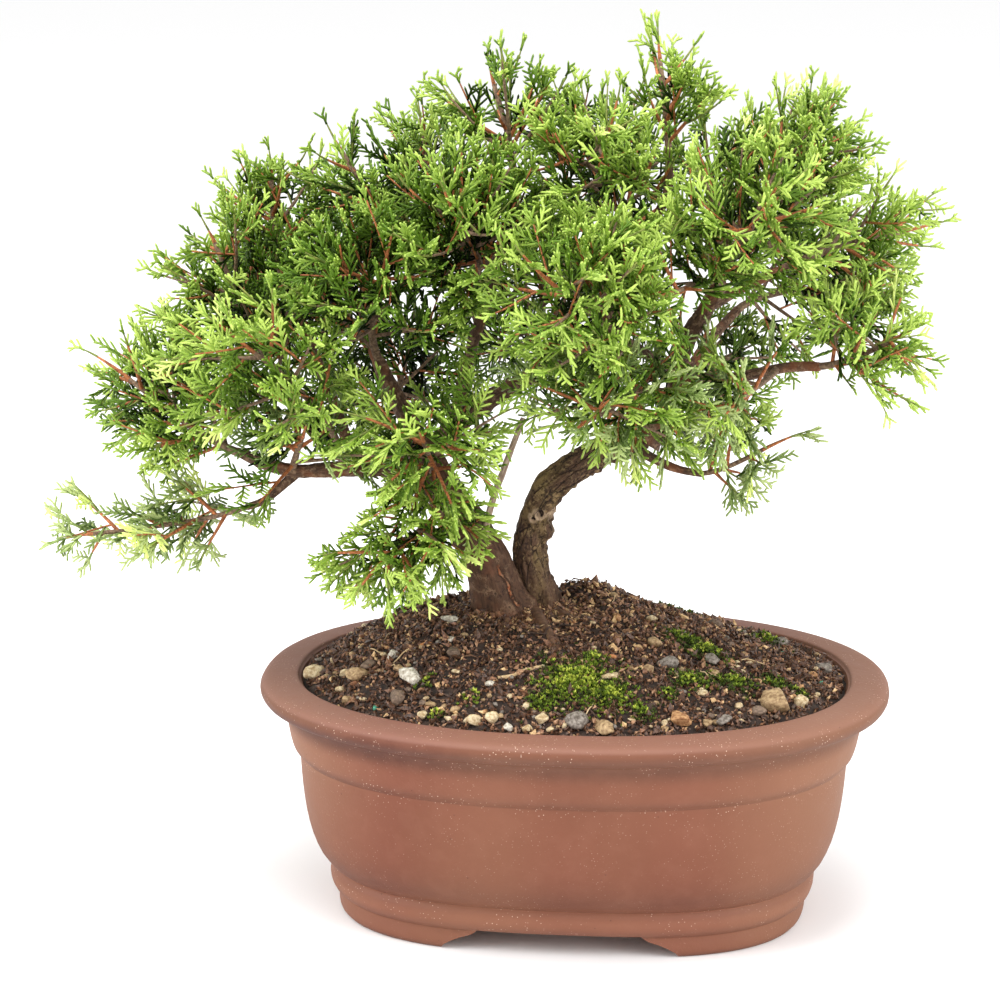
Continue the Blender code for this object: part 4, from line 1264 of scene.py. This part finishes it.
def right_bark_finish():
    """Old grey-brown bark in cracked plates, with patches of painted light, and the pale rings of
    three knot holes filled with painted shade.
    """
    bark = Finish("right_bark", srgb(104, 84, 64), 0.75, Specular_IOR_Level=0.35)
    at = bark.place()
    streaks = bark.noise(bark.grain((1.0, 0.22)), 0.9, 5.0, 0.7, 0.8)
    mottle = bark.noise(at, 2.2, 6.0, 0.75, 0.6)
    # Painted light: broad pale olive patches where the trunk catches the light
    painted_light_side = bark.noise(bark.place((1, 1, 0.5)), 13, 3.0)
    dark = bark.noise(at, 1.5, 4.0, 0.7)
    plates = bark.node("ShaderNodeVectorMath", {"operation": "ADD"}, {
        0: bark.grain((1.0, 0.34)), 1: bark.noise(at, 1.6, 3.0, 0.6) * 1.7})
    cracks = 1 - bark.cells(plates, 3.4, "DISTANCE_TO_EDGE").over(0.03, 0.03)
    cracks = cracks * bark.noise(at, 5.0, 3.0).over(0.48, 0.1)
    foot = 1 - bark.part(at, 2).over(POT_PLACE.z / METRES + GROUND + 13, 9)
    layers = [(painted_light_side.over(0.54, 0.08) * 0.75, srgb(140, 118, 76)),
              (mottle.over(0.57, 0.07) * 0.75, srgb(166, 138, 98)),
              (dark.over(0.57, 0.05) * 0.85, srgb(42, 27, 20)),
              (cracks * 0.85, srgb(42, 30, 25)),
              (foot * 0.5, srgb(98, 70, 52))]
    for share, turn, width, depth in KNOTS["right_trunk"]:
        if depth > HOLE_DEPTH:
            continue
        away = bark.away(under_skin("right_trunk", share, turn, 1.0))
        # The pale ring is the wood's own colour; the dark disc inside it is painted shade in the hole.
        ring = 1 - away.over(width + HOLE_RING, 0.3)
        hole = 1 - away.over(width + HOLE_SHADE, 0.25)
        layers.append((ring * mottle.over(0.42, 0.1) * 0.9, srgb(206, 178, 148)))
        layers.append((hole, srgb(32, 14, 15)))
    wood = bark.blend(streaks.over(0.5, 0.2), srgb(56, 39, 29), srgb(108, 80, 60))
    bark.set("Base Color", bark.layered(wood, *layers))
    bark.bump(streaks * 0.5 + mottle * 0.6 - cracks * 0.9, 0.7)
    return bark.material


def bough_bark_finish():
    """Brown bark of the boughs, flaking to orange and grey-tan."""
    bark = Finish("bough_bark", srgb(112, 84, 66), 0.8, Specular_IOR_Level=0.35)
    at = bark.place()
    streaks = bark.noise(bark.grain((1.0, 0.25)), 0.8, 5.0, 0.7, 0.6)
    mottle = bark.noise(at, 2.0, 5.0, 0.7)
    patches = bark.noise(at, 9, 3.0)
    bark.set("Base Color", bark.layered(
        bark.blend(streaks.over(0.5, 0.2), srgb(60, 42, 33), srgb(108, 80, 62)),
        (mottle.over(0.56, 0.07) * 0.7, srgb(160, 130, 104)),
        (patches.over(0.57, 0.08) * 0.5, srgb(146, 84, 48))))
    bark.bump(streaks * 0.6 + mottle * 0.5, 0.5)
    return bark.material


def stem_bark_finish():
    """Smooth grey-tan bark of the thin stem between the trunks."""
    bark = Finish("stem_bark", srgb(150, 124, 106), 0.7)
    cloud = bark.noise(bark.grain((1.0, 0.2)), 1.0, 4.0, 0.6)
    bark.set("Base Color", bark.blend(cloud.over(0.5, 0.2), srgb(132, 104, 88),
                                      srgb(208, 184, 162)))
    bark.bump(cloud, 0.3)
    return bark.material


def make_limbs():
    """The bark of each trunk, a piece of its own, and that of all the boughs, joined."""
    names = [limb.name for limb in LIMBS]
    for limb, bark, relief in zip(LIMBS, (left_bark_finish(), right_bark_finish()), TRUNK_RELIEF):
        heap, grain = Heap(), []
        limb_skin(heap, grain, limb, TRUNK_STEP, TRUNK_SIDES, relief)
        heap.piece(f"{limb.name}_bark", [bark], "trunk_bark", [limb.name], grain=grain)
    heap, grain = Heap(), []
    for limb in LIMBS[2:]:
        sides = THICK_BOUGH_SIDES if limb.foot > THICK_BOUGH else THIN_BOUGH_SIDES
        limb_skin(heap, grain, limb, BOUGH_STEP, sides, BOUGH_RELIEF * limb.foot,
                  int(limb.name == "thin_stem"))
    heap.piece("bough_bark", [bough_bark_finish(), stem_bark_finish()], "bough_bark", names[2:],
               grain=grain)


# Foliage

class CrownView:
    """How deep a point lies inside the crown's outline, as seen from the front.

    The outline and the sky gaps in it are drawn on the plane through the pot's middle, and a
    point is carried onto that plane along its own line of sight. The windows before the boughs
    are drawn there too, and only points near the front heed them.
    """

    def __init__(self):
        points = np.array(CROWN_OUTLINE, float)
        self.low = points.min(0) - 4
        size = np.ceil(points.max(0) + 4 - self.low).astype(int)
        x, z = np.meshgrid(np.arange(size[0]) + self.low[0], np.arange(size[1]) + self.low[1],
                           indexing="ij")
        inside = np.zeros(x.shape, bool)
        nearest = np.full(x.shape, 1e9)
        for a, b in zip(points, np.roll(points, -1, 0)):
            span = b - a
            along = ((x - a[0]) * span[0] + (z - a[1]) * span[1]) / (span @ span)
            along = np.clip(along, 0, 1)
            away = np.hypot(x - a[0] - along * span[0], z - a[1] - along * span[1])
            nearest = np.minimum(nearest, away)
            if span[1]:
                crosses = (a[1] > z) != (b[1] > z)
                inside ^= crosses & (x < a[0] + span[0] * (z - a[1]) / span[1])
        self.depths = np.where(inside, nearest, -nearest)
        for gap_x, gap_z, radius in SKY_GAPS:
            self.depths = np.minimum(self.depths, np.hypot(x - gap_x, z - gap_z) - radius)
        self.windows = np.full(x.shape, FAR)
        for gap_x, gap_z, radius in LIMB_WINDOWS:
            away = (np.hypot(x - gap_x, z - gap_z) - radius) * WINDOW_EDGE
            self.windows = np.minimum(self.windows, away)
        self.eye = camera_place()

    def depth(self, point):
        """How far inside the outline a point shows; less than 0 is outside."""
        share = self.eye.y / (self.eye.y - point.y)
        x = self.eye.x + (point.x - self.eye.x) * share
        z = self.eye.z + (point.z - self.eye.z) * share
        column = int(min(max(x - self.low[0], 0), self.depths.shape[0] - 1))
        row = int(min(max(z - self.low[1], 0), self.depths.shape[1] - 1))
        notch = max(0.0, noise.noise(Vector((x, 0, z)) / NOTCH_SIZE)) * RAGGED_EDGE
        depth = float(self.depths[column, row]) - notch
        return min(depth, float(self.windows[column, row])) if point.y < WINDOW_FRONT else depth


class Space:
    """The room of one mass: its own ellipsoid, less what lies nearer to the other masses."""

    def __init__(self, mass, view):
        self.middle = Vector(mass.middle)
        self.reach = Vector(mass.reach) * ROOM_SPREAD
        usual = BACK_FULLNESS if mass.name.startswith("back") else USUAL_FULLNESS
        self.fullness = FULLNESS.get(mass.name, usual)
        self.view = view
        self.walls = []
        for other in MASSES:
            if other is mass:
                continue
            away = Vector(other.middle) - self.middle
            distance = away.length
            own = sum(mass.reach) / 3
            others = sum(other.reach) / 3
            wall = (distance * distance + own * own - others * others) / (2 * distance)
            if wall < max(self.reach) * 1.1:
                self.walls.append((away / distance, wall + WALL_OVERLAP))

    def depth(self, point):
        """How far inside the room the point is; less than 0 is outside."""
        away = point - self.middle
        inside = (1 - self.skin(point)) * min(self.reach)
        walls = min((wall - away.dot(out) for out, wall in self.walls), default=FAR)
        box = min(point.y - CROWN_FRONT, CROWN_BACK - point.y)
        return min(inside, walls, box, self.view.depth(point))

    def skin(self, point):
        """0 at the middle of the room and 1 at its ellipsoid."""
        away = point - self.middle
        return Vector(a / r for a, r in zip(away, self.reach)).length

    def keeps(self, point):
        """Whether foliage grows at a point: in clumps, which thin out towards the outline."""
        edge = min(1.0, max(0.0, self.view.depth(point)) / EDGE_FADE)
        full = self.fullness * (EDGE_FULLNESS + (1 - EDGE_FULLNESS) * edge)
        cloud = noise.noise(point / CLUMP_SIZE) * CLUMP_CONTRAST + 0.5
        return cloud < full

    def run(self, start, direction, most):
        """How far one can go from the start before leaving the room."""
        length = 0.0
        while length < most and self.depth(start + direction * (length + RUN_STEP)) > 0:
            length += RUN_STEP
        return length


class Shoots:
    """All scale-leaved shoots of a mass, kept as numbers until the mesh is made.

    A kind of shoot is its rings, each as a share of its length and of its thickness.
    """
    AXIS = ((0.0, 0.95), (0.45, 1.0), (0.86, 0.85))
    SIDE = ((0.0, 0.9), (0.80, 0.92))

    def __init__(self):
        self.rows = {self.AXIS: [], self.SIDE: []}

    def add(self, kind, start, aim, length, thick, bend, tone, grey):
        """Notes one shoot down as a row of numbers."""
        self.rows[kind].append((*start, *aim, length, thick, *bend, tone, grey))

    def lay_into(self, heap):
        """Adds every shoot to a piece, kind by kind."""
        for kind, rows in self.rows.items():
            self.lay_kind(heap, kind, np.array(rows))

    def lay_kind(self, heap, kind, rows):
        """Three-sided tubes with the kind's rings, each closed to a point at its tip."""
        start, aim, bend = rows[:, 0:3], rows[:, 3:6], rows[:, 8:11]
        length, thick = rows[:, 6:7], rows[:, 7:8]
        tone = rows[:, 11].astype(int)
        grey = rows[:, 12:13] > 0
        helper = np.where(np.abs(aim[:, 2:3]) < 0.9, [[0, 0, 1.0]], [[1.0, 0, 0]])
        side = np.cross(aim, helper)
        side /= np.linalg.norm(side, axis=1, keepdims=True)
        across = np.cross(aim, side)
        tip = 3 * len(kind)
        count = tip + 1
        points = np.empty((len(rows), count, 3))
        for ring, (share, girth) in enumerate(kind):
            centre = start + aim * length * share + bend * length * share ** 2
            for corner in range(3):
                turn = 2 * math.pi * corner / 3 + ring * math.pi / 3
                points[:, ring * 3 + corner] = centre + thick * girth * (
                    side * math.cos(turn) + across * math.sin(turn))
        points[:, tip] = start + aim * length + bend * length
        face = []
        for ring in range(0, tip - 3, 3):
            for corner in range(3):
                beside = (corner + 1) % 3
                face.append((ring + corner, ring + beside, ring + 3 + corner))
                face.append((ring + beside, ring + 3 + beside, ring + 3 + corner))
        face += [(tip - 3, tip - 2, tip), (tip - 2, tip - 1, tip), (tip - 1, tip - 3, tip)]
        faces = (np.arange(len(rows)) * count)[:, None, None] + np.array(face)
        tones = np.repeat(tone[:, None], len(face), 1)
        # Painted shade: the axis's first faces, by its foot, one tone darker
        if kind is self.AXIS:
            tones[:, :6] = np.maximum(tones[:, :6] - 1, 0)
        tones[:, -3:] = np.minimum(tones[:, -3:] + 1, np.maximum(tones[:, -3:], LIGHT_TIP))
        tones = np.where(grey & (tones > 1) & (tones < LIGHTEST), tones + GREY_TONES, tones)
        heap.add(points, faces.reshape(-1, 3), finish=tones.ravel())


def spray(shoots, rng, root, aim, normal, length, *colour):
    """A spray: an axis with straight side shoots to left and right, a few of them forked."""
    across = normal.cross(aim).normalized()
    bend = normal * rng.uniform(-0.10, 0.16) + across * rng.uniform(-0.10, 0.10)
    shoots.add(Shoots.AXIS, root, aim, length, SHOOT_THICK, bend, *colour)
    count = max(3, round(length / SHOOT_STEP))
    hand = rng.choice((-1, 1))
    for k in range(count):
        share = (k + 0.6) / (count + 0.4)
        hand = -hand
        place = root + aim * length * share + bend * length * share ** 2
        lean = math.radians(rng.uniform(*SIDE_SHOOT_LEAN))
        reach = (SIDE_SHOOT + SIDE_SHOOT_GROWTH * length) * (1 - 0.5 * share) * rng.uniform(0.75, 1.15)
        way = (aim * math.cos(lean) + across * hand * math.sin(lean)
               + normal * rng.uniform(-0.2, 0.2)).normalized()
        curl = (aim - way) * 0.08
        shoots.add(Shoots.SIDE, place, way, reach, SHOOT_THICK * 0.95, curl, *colour)
        if rng.random() < FORKED:
            part = rng.uniform(0.3, 0.55)
            out = way.cross(normal).normalized() * rng.choice((-1, 1))
            fork = (way * 0.8 + out * 0.6 + normal * rng.uniform(-0.35, 0.35)).normalized()
            shoots.add(Shoots.SIDE, place + way * reach * part, fork, reach * FORK_LENGTH,
                       SHOOT_THICK * 0.88, curl * 0.5, *colour)


def stem_line(mass, limb):
    """The stem of one mass, from its limb to beyond the middle of its room."""
    middle = Vector(mass.middle)
    place = smooth_point(limb.route, mass.along)
    ahead = (place - smooth_point(limb.route, mass.along - 0.05)).normalized()
    if mass.along == 1.0:
        out = ahead
        start = place - ahead * 1.5
    else:
        out = square_to(ahead, middle - place)
        start = place
    inward = (middle - start).normalized()
    far = middle + Vector(a * r for a, r in zip(inward, mass.reach)) * STEM_BEND
    control = start + out * (middle - start).length * STEM_BEND
    line = []
    for i in range(9):
        t = i / 8
        line.append(start * (1 - t) ** 2 + control * 2 * t * (1 - t) + far * t * t)
    return line


def on_line(line, share):
    """The point at a share of a line of evenly spaced points."""
    place = share * (len(line) - 1)
    i = min(int(place), len(line) - 2)
    return line[i].lerp(line[i + 1], place - i)


def along_line(line, share):
    """The direction of a line near a share of it."""
    return (on_line(line, min(1, share + 0.1)) - on_line(line, share - 0.1)).normalized()


class Grower:
    """Grows one mass: twigs round its stem, branchlets round the twigs, sprays on those."""

    def __init__(self, mass, room, shoots, twigs):
        self.mass = mass
        self.room = room
        self.shoots = shoots
        self.twigs = twigs
        self.rng = random.Random(mass.name)
        self.outward = (room.middle - CROWN_HEART).normalized()

    def jitter(self, amount):
        """A random push of up to the amount each way."""
        return Vector(self.rng.uniform(-amount, amount) for _ in range(3))

    def path(self, start, aim, length, bow_share):
        """A line of five points that bows outward and up, or down where the mass hangs."""
        bow = (self.outward * 0.5 + UP * self.mass.rise + self.jitter(0.4)) * length * bow_share
        return [start + aim * length * t + bow * t * t for t in (0, 0.25, 0.5, 0.75, 1.0)]

    def stem(self, line):
        """Twigs in golden turns round the stem, and one that carries it on."""
        heading = (line[-1] - line[-3]).normalized()
        side = heading.orthogonal().normalized()
        turn = self.rng.uniform(0, 360)
        length = self.room.run(line[-1], heading, TWIG_LONGEST) * 0.8
        self.twig(line[-1], heading, max(SHORTEST, length))
        for i in range(self.mass.twigs):
            share = TWIGS_FROM + TWIGS_SPAN * i / (self.mass.twigs - 1)
            turn += GOLDEN_TURN
            radial = Matrix.Rotation(math.radians(turn), 3, heading) @ side
            aim = (radial + heading * 0.35 + self.outward * 0.3
                   + UP * self.mass.rise * 0.4).normalized()
            start = on_line(line, share)
            length = self.room.run(start, aim, TWIG_LONGEST) * self.rng.uniform(0.65, 0.88)
            if length >= SHORTEST and self.room.keeps(start + aim * length):
                self.twig(start, aim, length)

    def twig(self, start, aim, length):
        """A woody twig: plumes in golden turns round it, and one at its end."""
        path = self.path(start, aim, length, TWIG_BOW)
        tube(self.twigs, path, [TWIG_THICK * s for s in TWIG_THINS], 5,
             finish=0 if length > OLD_TWIG else 1)
        steps = max(1, round(length / PLUME_STEP))
        side = aim.orthogonal().normalized()
        turn = self.rng.uniform(0, 360)
        for k in range(steps + 1):
            share = min(1.0, PLUMES_FROM + (1 - PLUMES_FROM) * k / steps)
            place = on_line(path, share)
            along = along_line(path, share)
            turn += GOLDEN_TURN
            if k == steps:
                way = along
            else:
                lean = math.radians(self.rng.uniform(*PLUME_LEAN))
                radial = square_to(along, Matrix.Rotation(math.radians(turn), 3, along) @ side)
                way = along * math.cos(lean) + radial * math.sin(lean)
                way = (way + UP * self.mass.rise * 0.3 + self.outward * 0.2).normalized()
            longest = (PLUME_LONGEST - PLUME_SHORTENS * share) * self.rng.uniform(0.75, 1.15)
            reach = self.room.run(place, way, longest)
            if k == steps:
                self.plume(place, way, max(END_PLUME, reach))
            elif reach >= SHORTEST and self.room.keeps(place + way * reach):
                self.plume(place, way, reach)

    def plume(self, start, aim, length):
        """A thin green twig with sprays to left and right, shorter to its tip."""
        rng = self.rng
        path = self.path(start, aim, length, PLUME_BOW)
        tube(self.twigs, path, [PLUME_THICK * s for s in PLUME_THINS], 3,
             finish=1 if length > LONG_PLUME else 2)
        face = (on_line(path, 0.5) - CROWN_HEART).normalized() + self.jitter(0.6)
        steps = max(2, round(length / SPRAY_STEP))
        hand = rng.choice((-1, 1))
        for k in range(steps + 1):
            share = SPRAYS_FROM + (1 - SPRAYS_FROM) * k / steps
            place = on_line(path, share)
            along = along_line(path, share)
            normal = square_to(along, face + self.jitter(0.35))
            across = normal.cross(along)
            hand = -hand
            if k == steps:
                way = along
                long = rng.uniform(*END_SPRAY)
            else:
                lean = math.radians(rng.uniform(*SPRAY_LEAN))
                way = along * math.cos(lean) + across * hand * math.sin(lean)
                way = (way + UP * self.mass.rise * 0.3 + self.jitter(0.2)).normalized()
                long = (SPRAY_LONGEST - SPRAY_SHORTENS * share) * rng.uniform(0.75, 1.2)
            hang = HANGING_TIPS.get(self.mass.name, SPRAY_OVERHANG)
            while long > SPRAY_SHORTEST and self.room.depth(place + way * long) < -hang:
                long *= SPRAY_TRIM
            if long <= SPRAY_SHORTEST and k < steps:
                continue
            end = place + way * long
            # Painted shade: the deeper in the room, the darker; painted light: the nearer the outline,
            # the lighter
            outer = min(1.0, self.room.skin(end))
            edge = max(0.0, 1 - max(0.0, self.room.view.depth(end)) / EDGE_FADE)
            tone = self.mass.tone + TONE_SHIFT + PAINTED_SHADE_INWARD * (outer - 0.8) + PAINTED_LIGHT_AT_EDGE * edge
            tone = round(tone + rng.gauss(0, TONE_SPREAD))
            grey = noise.noise(place / GREY_CLUMP) + 0.5 < GREY_SHARE.get(self.mass.name, -1)
            spray(self.shoots, rng, place, way, square_to(way, normal + self.jitter(0.4)),
                  long, max(0, min(LIGHTEST, tone)), grey)


def foliage_group(mass):
    """The name of the joined piece that a mass goes into."""
    x, y, z = mass.middle
    if y > BACK_GROUPS_FROM:
        return "back_left" if x < -BACK_MIDDLE else "back_middle" if x < BACK_MIDDLE else "back_right"
    if x < LEFT_GROUPS_TO:
        return "left_low" if z < LEFT_HIGH_FROM else "left_high"
    if x < CENTRE_LEFT_TO:
        return "centre_left"
    if x < CENTRE_RIGHT_TO:
        return "centre_right"
    return "right_high" if z > RIGHT_LOW_TO else "right_low"


def make_foliage(finishes, twig_barks):
    """Grows every mass, and joins the foliage and the twigs into a few pieces by place."""
    limbs = {limb.name: limb for limb in LIMBS}
    view = CrownView()
    twigs = Heap()
    groups = {}
    for mass in MASSES:
        line = stem_line(mass, limbs[mass.limb])
        thick = min(STEM_THICK.get(mass.name, USUAL_STEM_THICK), limbs[mass.limb].tip)
        tube(twigs, line, [thick + (TWIG_THICK - thick) * i / 8 for i in range(9)], 7)
        shoots = Shoots()
        Grower(mass, Space(mass, view), shoots, twigs).stem(line)
        groups.setdefault(foliage_group(mass), []).append((mass.name, shoots))
    for where, members in groups.items():
        heap = Heap()
        for _, shoots in members:
            shoots.lay_into(heap)
        heap.piece(f"foliage_{where}", finishes, "foliage", [name for name, _ in members])
    twigs.piece("twigs", twig_barks, "twig_bark")


# Stage

CAMERA_TURN = 6.08
CAMERA_RISE = 13.31
CAMERA_AWAY = 900.0
CAMERA_TARGET = Vector((-24.1, 0, 133.0))
CAMERA_LENS = 101.05
SENSOR_WIDTH = 36.0
FLOOR_REACH = 12000.0

# The lights in metres: what they aim at; then the place, width and power of each
LIGHTS_AIM = Vector((0, 0, 0.15))
LIGHTS = {"left_softbox": ((-1.3, -0.7, 0.9), 0.8, 15),
          "right_softbox": ((1.3, -0.7, 0.8), 0.8, 14),
          "top_softbox": ((-0.1, -0.2, 1.6), 0.9, 22)}


def camera_back():
    """The direction from the target to the camera."""
    turn, rise = math.radians(CAMERA_TURN), math.radians(CAMERA_RISE)
    return Vector((math.sin(turn) * math.cos(rise), -math.cos(turn) * math.cos(rise),
                   math.sin(rise)))


def camera_place():
    """Where the camera stands, in millimetres from the middle of the pot's foot."""
    return CAMERA_TARGET + camera_back() * CAMERA_AWAY


def make_camera():
    """The camera fitted to the photo's rim and foot."""
    lens = bpy.data.cameras.new("camera")
    lens.lens = CAMERA_LENS
    lens.sensor_width = SENSOR_WIDTH
    lens.clip_end = 50
    camera = bpy.data.objects.new("camera", lens)
    bpy.context.scene.collection.objects.link(camera)
    camera.location = camera_place() * METRES + POT_PLACE
    camera.rotation_euler = camera_back().to_track_quat("Z", "Y").to_euler()
    bpy.context.scene.camera = camera
    bpy.context.scene.view_settings.view_transform = "Standard"


def make_light(name, place, size, power):
    """A square softbox that faces the tree."""
    lamp = bpy.data.lights.new(name, "AREA")
    lamp.shape = "SQUARE"
    lamp.size = size
    lamp.energy = power
    light = bpy.data.objects.new(name, lamp)
    bpy.context.scene.collection.objects.link(light)
    light.location = place
    light.rotation_euler = (Vector(place) - LIGHTS_AIM).to_track_quat("Z", "Y").to_euler()


def make_studio():
    """A white floor under a white sky, with three softboxes."""
    floor = Heap()
    corners = ((-1, -1, 0), (1, -1, 0), (1, 1, 0), (-1, 1, 0))
    floor.add(np.array(corners) * FLOOR_REACH, [(0, 1, 2, 3)])
    paper = Finish("floor_paper", (0.97, 0.97, 0.97), 0.9)
    floor.piece("floor", [paper.material], None)
    world = bpy.data.worlds.new("studio")
    world.use_nodes = True
    world.node_tree.nodes["Background"].inputs["Color"].default_value = (1, 1, 1, 1)
    world.node_tree.nodes["Background"].inputs["Strength"].default_value = 1.0
    bpy.context.scene.world = world
    for name, (place, size, power) in LIGHTS.items():
        make_light(name, place, size, power)


def main():
    """Makes every piece; the pot and the soil first, then the trunks, and the crown last."""
    make_camera()
    make_studio()
    make_pot(clay_finish())
    make_soil(soil_finish())
    make_crumbs([speckled("peat", srgb(42, 28, 20), srgb(104, 70, 50), 0.8, 0.42),
                 speckled("dark_bark", srgb(78, 51, 37), srgb(150, 104, 74), 0.8, 0.45),
                 speckled("brown_bark", srgb(122, 88, 64), srgb(190, 146, 110), 0.8, 0.6),
                 speckled("pale_bark", srgb(182, 140, 94), srgb(232, 198, 148), 0.8, 0.7)])
    make_fibres([speckled("rootlet", srgb(72, 48, 35), srgb(120, 86, 62), 2.0, 0.8),
                 speckled("dark_straw", srgb(50, 38, 30), srgb(80, 60, 48), 2.0, 0.85),
                 speckled("pale_straw", srgb(176, 146, 106), srgb(206, 180, 140), 2.0, 0.8),
                 speckled("orange_chip", srgb(176, 108, 62), srgb(208, 148, 98), 1.5, 0.8)])
    make_pebbles([speckled(*tone) for tone in STONE_TONES])
    make_moss([speckled("moss_dark", srgb(48, 62, 14), srgb(76, 94, 22), 1.0, 0.8),
               speckled("moss_green", srgb(96, 120, 24), srgb(130, 152, 36), 1.0, 0.75),
               speckled("moss_light", srgb(168, 182, 52), srgb(208, 216, 92), 1.0, 0.7)])
    make_limbs()
    make_foliage(foliage_finishes(),
                 [speckled("old_twig", srgb(84, 64, 50), srgb(150, 122, 96), 1.0, 0.8),
                  speckled("young_twig", srgb(124, 66, 34), srgb(196, 120, 68), 1.0, 0.7),
                  speckled("green_twig", srgb(96, 112, 44), srgb(142, 146, 68), 1.5, 0.7)])


main()
